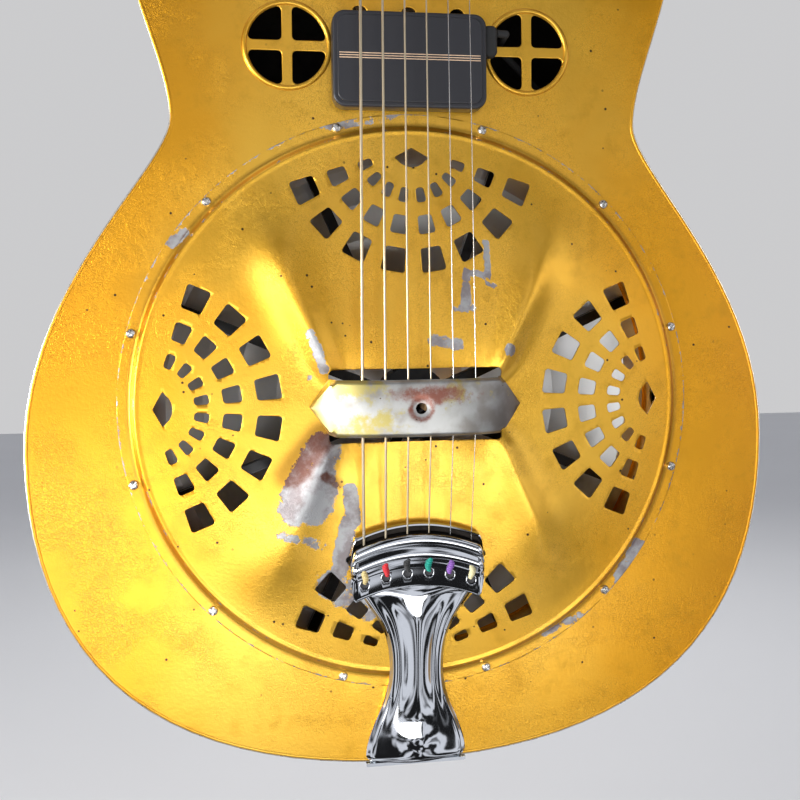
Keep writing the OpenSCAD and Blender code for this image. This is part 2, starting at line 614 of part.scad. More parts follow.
module button(number) color(cream) at_worm(number) difference() {
    long = 5;
    bean_r = 4.2;
    along_v(-3.4, 3.4) union() {
        for (e = [-1, 1]) translate([e * long, button_top - bean_r - 2]) circle(r = bean_r);
        translate([-long, button_top - 2 * bean_r - 2]) square([2 * long, 2 * bean_r]);
        translate([-2.6, button_top - 3]) square([5.2, 5]);
    }
    translate([0, 0, button_top]) cylinder(r = worm_shaft_r, h = 5);
}
module roller_1() roller(1);
module roller_2() roller(2);
module roller_3() roller(3);
module roller_4() roller(4);
module roller_5() roller(5);
module roller_6() roller(6);
module gear_1() gear(1);
module gear_2() gear(2);
module gear_3() gear(3);
module gear_4() gear(4);
module gear_5() gear(5);
module gear_6() gear(6);
module worm_1() worm(1);
module worm_2() worm(2);
module worm_3() worm(3);
module worm_4() worm(4);
module worm_5() worm(5);
module worm_6() worm(6);
module button_1() button(1);
module button_2() button(2);
module button_3() button(3);
module button_4() button(4);
module button_5() button(5);
module button_6() button(6);

top_plate();
back_plate();
rim_band();
sound_well();
tail_block();
neck_stick();
end_pin();
coverplate();
coverplate_screws();
resonator_cone();
spider_bridge();
spider_screw();
saddle_bass();
saddle_treble();
neck();
fretboard();
fret_markers();
frets();
nut();
tailpiece();
ball_ends();
string_1();
string_2();
string_3();
string_4();
string_5();
string_6();
pickup_case();
pickup_stripes();
pickup_boot();
pickup_lead();
output_jack();
jack_nut();
tuner_plate_bass();
tuner_plate_treble();
tuner_plate_screws();
roller_1();
roller_2();
roller_3();
roller_4();
roller_5();
roller_6();
gear_1();
gear_2();
gear_3();
gear_4();
gear_5();
gear_6();
worm_1();
worm_2();
worm_3();
worm_4();
worm_5();
worm_6();
button_1();
button_2();
button_3();
button_4();
button_5();
button_6();
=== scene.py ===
"""Dresses a metal-bodied resonator guitar: lacquered shell, pierced coverplate, chrome tailpiece."""

import json
import logging
import math
from dataclasses import dataclass
from enum import Enum
from typing import Callable, Iterable, Sequence

import bmesh
import bpy
from mathutils import Matrix, Vector


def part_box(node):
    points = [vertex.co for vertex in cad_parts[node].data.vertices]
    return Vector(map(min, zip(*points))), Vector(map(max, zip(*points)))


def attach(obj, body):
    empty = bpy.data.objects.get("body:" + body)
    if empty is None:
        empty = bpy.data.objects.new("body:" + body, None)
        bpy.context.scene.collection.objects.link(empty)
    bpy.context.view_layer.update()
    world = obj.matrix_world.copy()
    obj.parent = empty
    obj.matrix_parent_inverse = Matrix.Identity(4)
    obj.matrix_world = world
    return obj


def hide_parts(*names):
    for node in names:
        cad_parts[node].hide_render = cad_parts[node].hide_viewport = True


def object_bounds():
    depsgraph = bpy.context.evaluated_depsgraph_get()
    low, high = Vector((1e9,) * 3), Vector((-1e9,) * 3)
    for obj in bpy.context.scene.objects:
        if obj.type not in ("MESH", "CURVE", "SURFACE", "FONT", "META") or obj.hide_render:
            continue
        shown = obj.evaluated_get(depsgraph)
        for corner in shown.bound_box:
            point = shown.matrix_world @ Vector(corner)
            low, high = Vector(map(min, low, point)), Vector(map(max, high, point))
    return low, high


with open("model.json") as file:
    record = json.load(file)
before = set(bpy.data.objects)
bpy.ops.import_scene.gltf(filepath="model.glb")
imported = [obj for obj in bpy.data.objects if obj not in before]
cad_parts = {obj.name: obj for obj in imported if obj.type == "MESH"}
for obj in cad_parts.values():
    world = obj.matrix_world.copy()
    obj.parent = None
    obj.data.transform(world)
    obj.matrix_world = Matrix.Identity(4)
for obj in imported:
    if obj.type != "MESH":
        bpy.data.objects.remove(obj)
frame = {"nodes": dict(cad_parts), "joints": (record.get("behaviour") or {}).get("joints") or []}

LOG = logging.getLogger("resonator_guitar")
CAD_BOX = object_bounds()
MM = 0.001
Point = tuple[float, float]


class Slot(Enum):
    """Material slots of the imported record."""

    LACQUER = "lacquer"
    CHROME = "chrome"
    NICKEL = "nickel"
    SPUN = "spun_aluminium"
    MAPLE = "maple"
    NECK = "neck_wood"
    EBONY = "ebony"
    PLASTIC = "black_plastic"
    RUBBER = "black_rubber"
    STRIPE = "stripe"
    CREAM = "cream"
    BRASS = "brass"
    WOUND = "wound_wire"


# ---------------------------------------------------------------- finishes


class Graph:
    """Short names for building one material's node tree."""

    def __init__(self, name: str) -> None:
        """Starts an empty material with one surface shader.

        Args:
            name: The material's name.
        """
        self.material = bpy.data.materials.new(name)
        self.material.use_nodes = True
        self.nodes = self.material.node_tree.nodes
        self.links = self.material.node_tree.links
        self.shader = self.nodes["Principled BSDF"]
        self.place = self.nodes.new("ShaderNodeTexCoord").outputs["Object"]

    def join(self, value: object, socket: object) -> None:
        """Feeds a socket from a number, a colour or another node's output."""
        if isinstance(value, (int, float, tuple)):
            socket.default_value = value
        else:
            self.links.new(value, socket)

    def stretch(self, scale: tuple[float, float, float], turn: float = 0.0) -> object:
        """Scaled object coordinates.

        Args:
            scale: Scale along each axis.
            turn: Rotation about the vertical, in radians.

        Returns:
            The mapped vector output.
        """
        node = self.nodes.new("ShaderNodeMapping")
        node.inputs["Scale"].default_value = scale
        node.inputs["Rotation"].default_value = (0.0, turn, 0.0)
        self.links.new(self.place, node.inputs["Vector"])
        return node.outputs["Vector"]

    def noise(self, scale: float, detail: float = 3.0, rough: float = 0.5, at: object = None) -> object:
        """A noise value at a scale in cells per metre.

        Args:
            scale: Cells per metre.
            detail: Octaves.
            rough: How much each finer octave adds.
            at: Vector to read it at, or None for object coordinates.

        Returns:
            The noise value output.
        """
        node = self.nodes.new("ShaderNodeTexNoise")
        node.inputs["Scale"].default_value = scale
        node.inputs["Detail"].default_value = detail
        node.inputs["Roughness"].default_value = rough
        self.links.new(at or self.place, node.inputs["Vector"])
        return node.outputs["Fac"]

    def cells(self, scale: float, edge: bool = False, at: object = None) -> tuple[object, object]:
        """Voronoi cells.

        Args:
            scale: Cells per metre.
            edge: True for the distance to the nearest cell border.
            at: Vector to read it at, or None for object coordinates.

        Returns:
            The distance output and the cell colour output (the distance again for borders).
        """
        node = self.nodes.new("ShaderNodeTexVoronoi")
        if edge:
            node.feature = "DISTANCE_TO_EDGE"
        node.inputs["Scale"].default_value = scale
        self.links.new(at or self.place, node.inputs["Vector"])
        return node.outputs["Distance"], node.outputs["Distance" if edge else "Color"]

    def waves(self, scale: float) -> object:
        """Level bands, stacked up the guitar, at about a scale in bands per metre."""
        node = self.nodes.new("ShaderNodeTexWave")
        node.bands_direction = "Z"
        node.inputs["Scale"].default_value = scale
        node.inputs["Distortion"].default_value = 0.0
        self.links.new(self.place, node.inputs["Vector"])
        return node.outputs["Fac"]

    def sums(self, kind: str, first: object, second: object = 0.0, third: object = 0.0) -> object:
        """One arithmetic step.

        Args:
            kind: Operation of the math node.
            first: First term.
            second: Second term.
            third: What a multiply-add adds.

        Returns:
            The result's output.
        """
        node = self.nodes.new("ShaderNodeMath")
        node.operation = kind
        self.join(first, node.inputs[0])
        self.join(second, node.inputs[1])
        if kind == "MULTIPLY_ADD":
            self.join(third, node.inputs[2])
        return node.outputs[0]

    def ramp(self, value: object, low: float, high: float) -> object:
        """A smooth step from 0 at low to 1 at high."""
        node = self.nodes.new("ShaderNodeMapRange")
        node.interpolation_type = "SMOOTHSTEP"
        node.inputs["From Min"].default_value = low
        node.inputs["From Max"].default_value = high
        self.join(value, node.inputs["Value"])
        return node.outputs["Result"]

    def blend(self, share: object, first: object, second: object) -> object:
        """A mix of two colours."""
        node = self.nodes.new("ShaderNodeMix")
        node.data_type = "RGBA"
        self.join(share, node.inputs[0])
        for value, socket in ((first, node.inputs[6]), (second, node.inputs[7])):
            self.join((*value, 1.0) if isinstance(value, tuple) else value, socket)
        return node.outputs[2]

    def painted(self, name: str) -> object:
        """A per-vertex value stored on the mesh."""
        node = self.nodes.new("ShaderNodeAttribute")
        node.attribute_name = name
        return node.outputs["Fac"]

    def axis(self, letter: str) -> object:
        """One of the object coordinates."""
        node = self.nodes.new("ShaderNodeSeparateXYZ")
        self.links.new(self.place, node.inputs[0])
        return node.outputs[letter]

    def relief(self, height: object, depth: float, strength: float) -> object:
        """Bumps the surface.

        Args:
            height: Height value.
            depth: Height in metres that a value of one stands for.
            strength: How strongly it tells.

        Returns:
            The normal output.
        """
        node = self.nodes.new("ShaderNodeBump")
        node.inputs["Strength"].default_value = strength
        node.inputs["Distance"].default_value = depth
        self.links.new(height, node.inputs["Height"])
        return node.outputs["Normal"]

    def set(self, **sockets: object) -> None:
        """Fills the shader's sockets; underscores in a name stand for spaces."""
        for name, value in sockets.items():
            if isinstance(value, tuple) and len(value) == 3:
                value = (*value, 1.0)
            self.join(value, self.shader.inputs[name.replace("_", " ")])


@dataclass(frozen=True)
class AmberLacquer:
    """Translucent amber lacquer over nickel: crackled, speckled, rubbed through in places.

    Attributes:
        name: Material name.
        worn: True where the mesh carries a 'worn' value.
        crackle: Crackle cells per metre.
    """

    name: str = "amber_lacquer"
    worn: bool = False
    crackle: float = 760.0

    def build(self) -> bpy.types.Material:
        """Makes the material."""
        g = Graph(self.name)
        mottle = g.noise(70.0, 4.0, 0.6)
        edge = g.ramp(g.sums("ABSOLUTE", g.axis("X")), 0.07, 0.185)
        age = g.sums("MULTIPLY_ADD", edge, 0.34, g.sums("MULTIPLY", g.noise(9.0, 4.0, 0.55), 0.5))
        tone = g.blend(g.ramp(age, 0.16, 0.44), (0.86, 0.5, 0.055), (0.8, 0.37, 0.014))
        tone = g.blend(g.ramp(age, 0.42, 0.75), tone, (0.66, 0.25, 0.006))
        tone = g.blend(g.sums("MULTIPLY", g.ramp(mottle, 0.5, 0.75), 0.4), tone, (0.5, 0.25, 0.01))
        shift = g.nodes.new("ShaderNodeVectorMath")
        shift.operation = "SCALE"
        shift.inputs["Scale"].default_value = 0.004
        g.links.new(g.noise(260.0, 2.0).node.outputs["Color"], shift.inputs[0])
        moved = g.nodes.new("ShaderNodeVectorMath")
        g.links.new(g.place, moved.inputs[0])
        g.links.new(shift.outputs[0], moved.inputs[1])
        border, _ = g.cells(self.crackle, edge=True, at=moved.outputs[0])
        crack = g.sums("SUBTRACT", 1.0, g.ramp(border, 0.0, 0.1))
        crack = g.sums("MULTIPLY", crack, g.ramp(g.noise(30.0), 0.38, 0.6))
        tone = g.blend(g.sums("MULTIPLY", crack, 0.32), tone, (0.3, 0.13, 0.008))
        gap, tint = g.cells(150.0)
        speck = g.sums("SUBTRACT", 1.0, g.ramp(gap, 0.07, 0.12))
        speck = g.sums("MULTIPLY", g.ramp(tint, 0.7, 0.73), speck)
        tone = g.blend(speck, tone, (0.06, 0.03, 0.012))
        rough = g.sums("MULTIPLY_ADD", mottle, 0.16, 0.24)
        height = g.sums("MULTIPLY_ADD", crack, -0.5, g.noise(620.0, 3.0, 0.6))
        if self.worn:
            grit = g.noise(170.0, 8.0, 0.78)
            bare = g.ramp(g.sums("MULTIPLY_ADD", grit, 2.6, g.painted("worn")), 1.86, 1.96)
            stain = g.ramp(g.noise(70.0, 5.0, 0.65), 0.42, 0.62)
            silver = g.blend(stain, (0.4, 0.4, 0.4), (0.25, 0.22, 0.22))
            # the bloom attribute holds brown bloom plus the painted shade of the crease inside the flange
            bloom_and_crease_shade = g.painted("bloom")
            rust = g.ramp(g.sums("MULTIPLY_ADD", g.noise(120.0, 6.0, 0.7), 1.3, bloom_and_crease_shade), 0.95, 1.75)
            silver = g.blend(rust, silver, (0.13, 0.055, 0.04))
            tone = g.blend(g.sums("MULTIPLY", bloom_and_crease_shade, 0.6), tone, (0.22, 0.1, 0.012))
            tone = g.blend(bare, tone, silver)
            rough = g.sums("MULTIPLY_ADD", bare, 0.14, rough)
            height = g.sums("MULTIPLY_ADD", bare, -0.8, height)
        g.set(Base_Color=tone, Roughness=rough, Metallic=0.9)
        g.set(Coat_Weight=0.35, Coat_Roughness=0.2, Coat_IOR=1.45)
        g.set(Normal=g.relief(height, 0.00009, 0.8))
        return g.material


@dataclass(frozen=True)
class RubbedNickel:
    """The pressed handrest: lacquer almost gone, tarnished nickel with brown bloom, and painted shade
    darkening its right end.

    Attributes:
        name: Material name.
    """

    name: str = "rubbed_nickel"

    def build(self) -> bpy.types.Material:
        """Makes the material."""
        g = Graph(self.name)
        patch = g.noise(34.0, 6.0, 0.66)
        left = g.ramp(g.axis("X"), 0.0, -0.03)
        paint = g.ramp(g.sums("MULTIPLY_ADD", left, 0.17, patch), 0.55, 0.64)
        # painted shade: the right end of the handrest is darkened
        dusk = g.ramp(g.axis("X"), 0.02, 0.05)
        tone = g.blend(g.ramp(g.noise(90.0, 4.0), 0.35, 0.65), (0.46, 0.46, 0.44), (0.3, 0.28, 0.25))
        tone = g.blend(g.sums("MULTIPLY", dusk, 0.6), tone, (0.13, 0.1, 0.09))
        tone = g.blend(paint, tone, (0.44, 0.37, 0.13))
        bloom = g.painted("bloom")
        rust = g.ramp(g.sums("MULTIPLY_ADD", g.noise(160.0, 6.0, 0.75), 1.5, bloom), 1.05, 1.6)
        tone = g.blend(rust, tone, (0.27, 0.11, 0.08))
        gap, tint = g.cells(420.0)
        pit = g.sums("MULTIPLY", g.ramp(tint, 0.86, 0.88), g.sums("SUBTRACT", 1.0, g.ramp(gap, 0.1, 0.2)))
        tone = g.blend(pit, tone, (0.1, 0.06, 0.03))
        rough = g.sums("MULTIPLY_ADD", patch, 0.4, 0.2)
        g.set(Base_Color=tone, Roughness=rough, Metallic=0.95)
        g.set(Coat_Weight=0.1, Coat_Roughness=0.3)
        g.set(Normal=g.relief(g.noise(480.0, 5.0, 0.7), 0.00006, 0.7))
        return g.material


@dataclass(frozen=True)
class Metal:
    """Plain worked metal with fine scratches.

    Attributes:
        name: Material name.
        tone: Base colour.
        rough: Roughness.
        scratch: Depth of the scratches, as a share of a tenth of a millimetre.
        rings: True for the spinning marks of a turned sheet.
        dull: How much darker the tarnished patches are.
    """

    name: str
    tone: tuple[float, float, float]
    rough: float
    scratch: float = 0.2
    rings: bool = False
    dull: float = 0.28

    def build(self) -> bpy.types.Material:
        """Makes the material."""
        g = Graph(self.name)
        haze = g.noise(140.0, 4.0, 0.6)
        dark = tuple((1.0 - self.dull) * part for part in self.tone)
        g.set(Base_Color=g.blend(g.ramp(haze, 0.45, 0.75), self.tone, dark))
        g.set(Metallic=1.0, Roughness=g.sums("MULTIPLY_ADD", haze, self.rough * 0.7, self.rough * 0.6))
        lines = g.noise(300.0, 3.0, 0.6, g.stretch((1.0, 1.0, 14.0), 0.5))
        if self.rings:
            node = g.nodes.new("ShaderNodeTexWave")
            node.wave_type = "RINGS"
            node.rings_direction = "Y"
            node.inputs["Scale"].default_value = 190.0
            shift = g.nodes.new("ShaderNodeMapping")
            shift.inputs["Location"].default_value = (0.0, 0.0, -LAYOUT.centre_v * MM)
            g.links.new(g.place, shift.inputs["Vector"])
            g.links.new(shift.outputs["Vector"], node.inputs["Vector"])
            lines = node.outputs["Fac"]
        g.set(Normal=g.relief(lines, 0.0001 * self.scratch, 0.6))
        return g.material


@dataclass(frozen=True)
class WoundWire:
    """Round-wound string: fine turns of wrap wire along its length.

    Attributes:
        name: Material name.
        tone: Wrap colour.
        turns: Turns per metre.
    """

    name: str
    tone: tuple[float, float, float]
    turns: float = 2600.0

    def build(self) -> bpy.types.Material:
        """Makes the material."""
        g = Graph(self.name)
        wrap = g.waves(self.turns / 6.28)
        tarnish = g.noise(60.0, 4.0, 0.6)
        dark = tuple(0.55 * part for part in self.tone)
        g.set(Base_Color=g.blend(g.ramp(tarnish, 0.4, 0.7), self.tone, dark))
        g.set(Metallic=1.0, Roughness=g.sums("MULTIPLY_ADD", tarnish, 0.2, 0.2))
        g.set(Normal=g.relief(wrap, 0.00012, 0.8))
        return g.material


@dataclass(frozen=True)
class Wood:
    """Straight-grained wood with pores.

    Attributes:
        name: Material name.
        light: Early wood colour.
        dark: Late wood colour.
        gloss: Weight of the clear coat.
        rough: Roughness.
    """

    name: str
    light: tuple[float, float, float]
    dark: tuple[float, float, float]
    gloss: float = 0.4
    rough: float = 0.45

    def build(self) -> bpy.types.Material:
        """Makes the material."""
        g = Graph(self.name)
        along = g.stretch((1.0, 1.0, 0.07))
        band = g.noise(90.0, 5.0, 0.62, along)
        pore = g.ramp(g.noise(1400.0, 2.0, 0.5, g.stretch((1.0, 1.0, 0.03))), 0.62, 0.7)
        tone = g.blend(g.ramp(band, 0.35, 0.68), self.light, self.dark)
        deep = tuple(0.45 * part for part in self.dark)
        g.set(Base_Color=g.blend(g.sums("MULTIPLY", pore, 0.7), tone, deep))
        g.set(Roughness=g.sums("MULTIPLY_ADD", band, 0.2, self.rough - 0.1))
        g.set(Coat_Weight=self.gloss, Coat_Roughness=0.18)
        g.set(Normal=g.relief(g.sums("MULTIPLY", pore, -1.0), 0.00008, 0.6))
        return g.material


@dataclass(frozen=True)
class Moulded:
    """Moulded plastic or rubber with a light grain.

    Attributes:
        name: Material name.
        tone: Colour.
        rough: Roughness.
        marble: Strength of the cloudy figure.
        grain: Depth of the grain as a share of a tenth of a millimetre.
    """

    name: str
    tone: tuple[float, float, float]
    rough: float = 0.35
    marble: float = 0.2
    grain: float = 0.3

    def build(self) -> bpy.types.Material:
        """Makes the material."""
        g = Graph(self.name)
        cloud = g.noise(110.0, 5.0, 0.6)
        dark = tuple((1.0 - self.marble) * part for part in self.tone)
        g.set(Base_Color=g.blend(g.ramp(cloud, 0.35, 0.7), self.tone, dark))
        g.set(Roughness=g.sums("MULTIPLY_ADD", cloud, 0.15, self.rough - 0.07))
        g.set(Specular_IOR_Level=0.5)
        g.set(Normal=g.relief(g.noise(1500.0, 3.0, 0.6), 0.0001 * self.grain, 0.6))
        return g.material


class Finish(Enum):
    """Every finish of the guitar. Each is built once, when first asked for."""

    BODY = AmberLacquer()
    COVER = AmberLacquer("amber_lacquer_worn", worn=True)
    HANDREST = RubbedNickel()
    EDGE = Metal("bare_edge", (0.72, 0.66, 0.52), 0.3)
    CHROME = Metal("chrome_plate", (0.66, 0.68, 0.7), 0.08, 0.03, dull=0.06)
    NICKEL = Metal("nickel_plate", (0.68, 0.66, 0.61), 0.24)
    # near-black tone is painted shade: the cone seen through the fan holes reads as the dark cavity
    SPUN = Metal("spun_aluminium", (0.075, 0.075, 0.07), 0.22, 0.6, rings=True)
    # near-black tone is painted shade of the cavity under the cover
    CAST = Metal("cast_spider", (0.05, 0.05, 0.05), 0.4, 0.3)
    # near-black metal painted as shade: used for the body's cavity and the string block's recess
    INSIDE = Metal("painted_shade_metal", (0.035, 0.03, 0.026), 0.6, 0.4)
    BRASS = Metal("gear_brass", (0.66, 0.45, 0.17), 0.3)
    STEEL_WIRE = Metal("plain_wire", (0.72, 0.71, 0.68), 0.2)
    WRAP = WoundWire("wound_wire", (0.66, 0.56, 0.36))
    MAPLE = Wood("bare_maple", (0.66, 0.46, 0.25), (0.52, 0.33, 0.16), 0.1, 0.55)
    NECK = Wood("neck_mahogany", (0.2, 0.075, 0.03), (0.11, 0.036, 0.016), 0.8, 0.35)
    EBONY = Wood("ebony", (0.032, 0.025, 0.022), (0.014, 0.011, 0.01), 0.2, 0.4)
    BLACK = Moulded("black_plastic", (0.016, 0.016, 0.018), 0.32, 0.3)
    RUBBER = Moulded("black_rubber", (0.02, 0.02, 0.02), 0.6, 0.2, 0.6)
    STRIPE = Moulded("stripe_inlay", (0.72, 0.5, 0.33), 0.3)
    CREAM = Moulded("cream_plastic", (0.83, 0.76, 0.58), 0.25, 0.22)
    SILK_BRASS = Moulded("silk_straw", (0.62, 0.5, 0.22), 0.6, 0.4, 0.8)
    SILK_RED = Moulded("silk_red", (0.62, 0.02, 0.03), 0.6, 0.4, 0.8)
    SILK_BLACK = Moulded("silk_black", (0.03, 0.03, 0.03), 0.6, 0.4, 0.8)
    SILK_GREEN = Moulded("silk_green", (0.0, 0.3, 0.22), 0.6, 0.4, 0.8)
    SILK_PURPLE = Moulded("silk_purple", (0.25, 0.1, 0.42), 0.6, 0.4, 0.8)
    SILK_PALE = Moulded("silk_pale", (0.75, 0.68, 0.4), 0.6, 0.4, 0.8)

    def material(self) -> bpy.types.Material:
        """The finish's material, built on first use."""
        return bpy.data.materials.get(self.value.name) or self.value.build()


# ---------------------------------------------------------------- layout and mesh tools


@dataclass(frozen=True)
class Layout:
    """Places that the sub-assemblies share, read from the frame, in millimetres.

    u runs to the treble side, v up the neck and w out of the top.

    Attributes:
        centre_v: Height of the coverplate's centre.
        top_w: Outer face of the top plate.
        low_w: Half width of the lower bout.
        body_l: Length of the body.
    """

    centre_v: float
    top_w: float
    low_w: float
    body_l: float

    @classmethod
    def read(cls) -> "Layout":
        """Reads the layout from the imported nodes."""
        cover_low, cover_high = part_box("coverplate")
        _, plate_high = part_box("top_plate")
        return cls(
            centre_v=(cover_low.z + cover_high.z) / 2 / MM,
            top_w=-cover_high.y / MM,
            low_w=plate_high.x / MM,
            body_l=plate_high.z / MM,
        )


LAYOUT = Layout.read()


def at(u: float, v: float, w: float) -> Vector:
    """A point of the guitar's own layout, in metres in the shared frame."""
    return Vector((u, -w, v)) * MM


def smooth(value: float, low: float, high: float) -> float:
    """A smooth step from 0 at low to 1 at high."""
    share = min(1.0, max(0.0, (value - low) / (high - low)))
    return share * share * (3.0 - 2.0 * share)


def bezier(points: Sequence[Point], share: float) -> Point:
    """A point on a cubic curve."""
    rest = 1.0 - share
    weights = (rest**3, 3 * rest * rest * share, 3 * rest * share * share, share**3)
    return (
        sum(k * p[0] for k, p in zip(weights, points)),
        sum(k * p[1] for k, p in zip(weights, points)),
    )


def arc(centre: Point, radius: float, start: float, end: float, steps: int) -> list[Point]:
    """Points along an arc, angles in degrees, both ends included."""
    turns = (math.radians(start + (end - start) * k / steps) for k in range(steps + 1))
    return [(centre[0] + radius * math.cos(a), centre[1] + radius * math.sin(a)) for a in turns]


def circle(centre: Point, radius: float, steps: int) -> list[Point]:
    """Points round a circle, the start only once."""
    return arc(centre, radius, 0.0, 360.0, steps)[:-1]


def rounded(points: Sequence[Point], radius: float, steps: int = 4) -> list[Point]:
    """A polygon with its corners turned into arcs.

    Args:
        points: Corners in order.
        radius: Corner radius.
        steps: Steps in each corner.

    Returns:
        The rounded outline.
    """
    out: list[Point] = []
    for k, corner in enumerate(points):
        here = Vector(corner)
        back = (Vector(points[k - 1]) - here).normalized()
        ahead = (Vector(points[(k + 1) % len(points)]) - here).normalized()
        half = back.angle(ahead) / 2
        middle = here + (back + ahead).normalized() * radius / math.sin(half)
        first = here + back * radius / math.tan(half) - middle
        last = here + ahead * radius / math.tan(half) - middle
        for step in range(steps + 1):
            spoke = first.slerp(last, step / steps).normalized() * radius
            out.append((middle.x + spoke.x, middle.y + spoke.y))
    return out


def crisp(mesh: bpy.types.Mesh, angle: float = 38.0) -> None:
    """Shades a mesh smooth, with edges sharper than the angle left hard."""
    work = bmesh.new()
    work.from_mesh(mesh)
    limit = math.radians(angle)
    for face in work.faces:
        face.smooth = True
    for edge in work.edges:
        edge.smooth = len(edge.link_faces) == 2 and edge.calc_face_angle(0.0) < limit
    work.to_mesh(mesh)
    work.free()


def piece_from(name: str, verts: Iterable[Vector], faces: Iterable[Sequence[int]]) -> bpy.types.Object:
    """Makes a linked mesh object with its normals pointing out.

    Args:
        name: Piece name.
        verts: Points in metres.
        faces: Corner indices of each face.

    Returns:
        The new object.
    """
    mesh = bpy.data.meshes.new(name)
    mesh.from_pydata([tuple(v) for v in verts], [], [tuple(f) for f in faces])
    work = bmesh.new()
    work.from_mesh(mesh)
    bmesh.ops.recalc_face_normals(work, faces=work.faces)
    work.to_mesh(mesh)
    work.free()
    piece = bpy.data.objects.new(name, mesh)
    bpy.context.scene.collection.objects.link(piece)
    return piece


def settle(piece: bpy.types.Object, angle: float = 38.0) -> bpy.types.Object:
    """Applies a piece's modifiers and shades it."""
    graph = bpy.context.evaluated_depsgraph_get()
    mesh = bpy.data.meshes.new_from_object(piece.evaluated_get(graph))
    piece.modifiers.clear()
    piece.data = mesh
    crisp(mesh, angle)
    return piece


def plate(
    name: str, loops: Sequence[Sequence[Point]], low: float, high: float, edge: float, steps: int = 2
) -> bpy.types.Object:
    """A flat plate with rounded edges, cut out along closed outlines.

    Args:
        name: Piece name.
        loops: Outer outline and the outlines of its holes, in u and v.
        low: Lower face, in w.
        high: Upper face, in w.
        edge: Radius of the edges.
        steps: Steps in the edge rounding.

    Returns:
        The plate as a mesh piece.
    """
    curve = bpy.data.curves.new(name + "_outline", "CURVE")
    curve.dimensions = "2D"
    curve.fill_mode = "BOTH"
    curve.extrude = ((high - low) / 2 - edge) * MM
    curve.bevel_depth = edge * MM
    curve.bevel_resolution = steps
    curve.offset = -edge * MM
    for loop in loops:
        spline = curve.splines.new("POLY")
        spline.points.add(len(loop) - 1)
        for point, (u, v) in zip(spline.points, loop):
            point.co = (u * MM, v * MM, 0.0, 1.0)
        spline.use_cyclic_u = True
    holder = bpy.data.objects.new(name + "_outline", curve)
    bpy.context.scene.collection.objects.link(holder)
    bpy.context.view_layer.update()
    graph = bpy.context.evaluated_depsgraph_get()
    mesh = bpy.data.meshes.new_from_object(holder.evaluated_get(graph))
    mesh.transform(Matrix.Translation((0, -(low + high) / 2 * MM, 0)) @ Matrix.Rotation(math.pi / 2, 4, "X"))
    bpy.data.objects.remove(holder)
    bpy.data.curves.remove(curve)
    work = bmesh.new()
    work.from_mesh(mesh)
    bmesh.ops.remove_doubles(work, verts=work.verts, dist=1e-6)
    bmesh.ops.recalc_face_normals(work, faces=work.faces)
    work.to_mesh(mesh)
    work.free()
    crisp(mesh)
    for face in mesh.polygons:
        face.use_smooth = abs(face.normal.y) < 0.999
    piece = bpy.data.objects.new(name, mesh)
    bpy.context.scene.collection.objects.link(piece)
    return piece


def loft(name: str, rings: Sequence[Sequence[Vector]], caps: bool = True) -> bpy.types.Object:
    """Skins a row of closed rings with the same number of points.

    Args:
        name: Piece name.
        rings: Rings in order.
        caps: True to close both ends.

    Returns:
        The new piece.
    """
    size = len(rings[0])
    verts = [point for ring in rings for point in ring]
    faces = [
        (k * size + i, k * size + (i + 1) % size, (k + 1) * size + (i + 1) % size, (k + 1) * size + i)
        for k in range(len(rings) - 1)
        for i in range(size)
    ]
    if caps:
        faces.append(tuple(range(size)))
        faces.append(tuple((len(rings) - 1) * size + i for i in range(size)))
    return piece_from(name, verts, faces)


def turned(name: str, profile: Sequence[Point], steps: int, place: Matrix) -> bpy.types.Object:
    """Turns a profile of (radius, height) about +Z and places it.

    Args:
        name: Piece name.
        profile: Radius and height of each ring, in millimetres.
        steps: Sides round the piece.
        place: Where the turned piece goes.

    Returns:
        The new piece.
    """
    rings = [
        [place @ (Vector((r * math.cos(a), r * math.sin(a), h)) * MM) for a in
         (2 * math.pi * k / steps for k in range(steps))]
        for r, h in profile
    ]
    return loft(name, rings)


def tube(
    name: str, path: Sequence[Vector], radius: float, steps: int = 12, closed: bool = False
) -> bpy.types.Object:
    """Sweeps a round section along a path.

    Args:
        name: Piece name.
        path: Points in metres.
        radius: Section radius in millimetres.
        steps: Sides of the section.
        closed: True for a ring.

    Returns:
        The new piece.
    """
    rings = []
    count = len(path)
    side = Vector((0, 1, 0))
    for k, point in enumerate(path):
        before = path[k - 1] if closed or k else point
        after = path[(k + 1) % count] if closed or k < count - 1 else point
        along = (after - before).normalized()
        side = (side - along * side.dot(along)).normalized()
        up = along.cross(side)
        rings.append([
            point + (side * math.cos(a) + up * math.sin(a)) * radius * MM
            for a in (2 * math.pi * i / steps for i in range(steps))
        ])
    if closed:
        rings.append(rings[0])
    piece = loft(name, rings, caps=not closed)
    if closed:
        work = bmesh.new()
        work.from_mesh(piece.data)
        bmesh.ops.remove_doubles(work, verts=work.verts, dist=1e-7)
        work.to_mesh(piece.data)
        work.free()
    crisp(piece.data)
    return piece


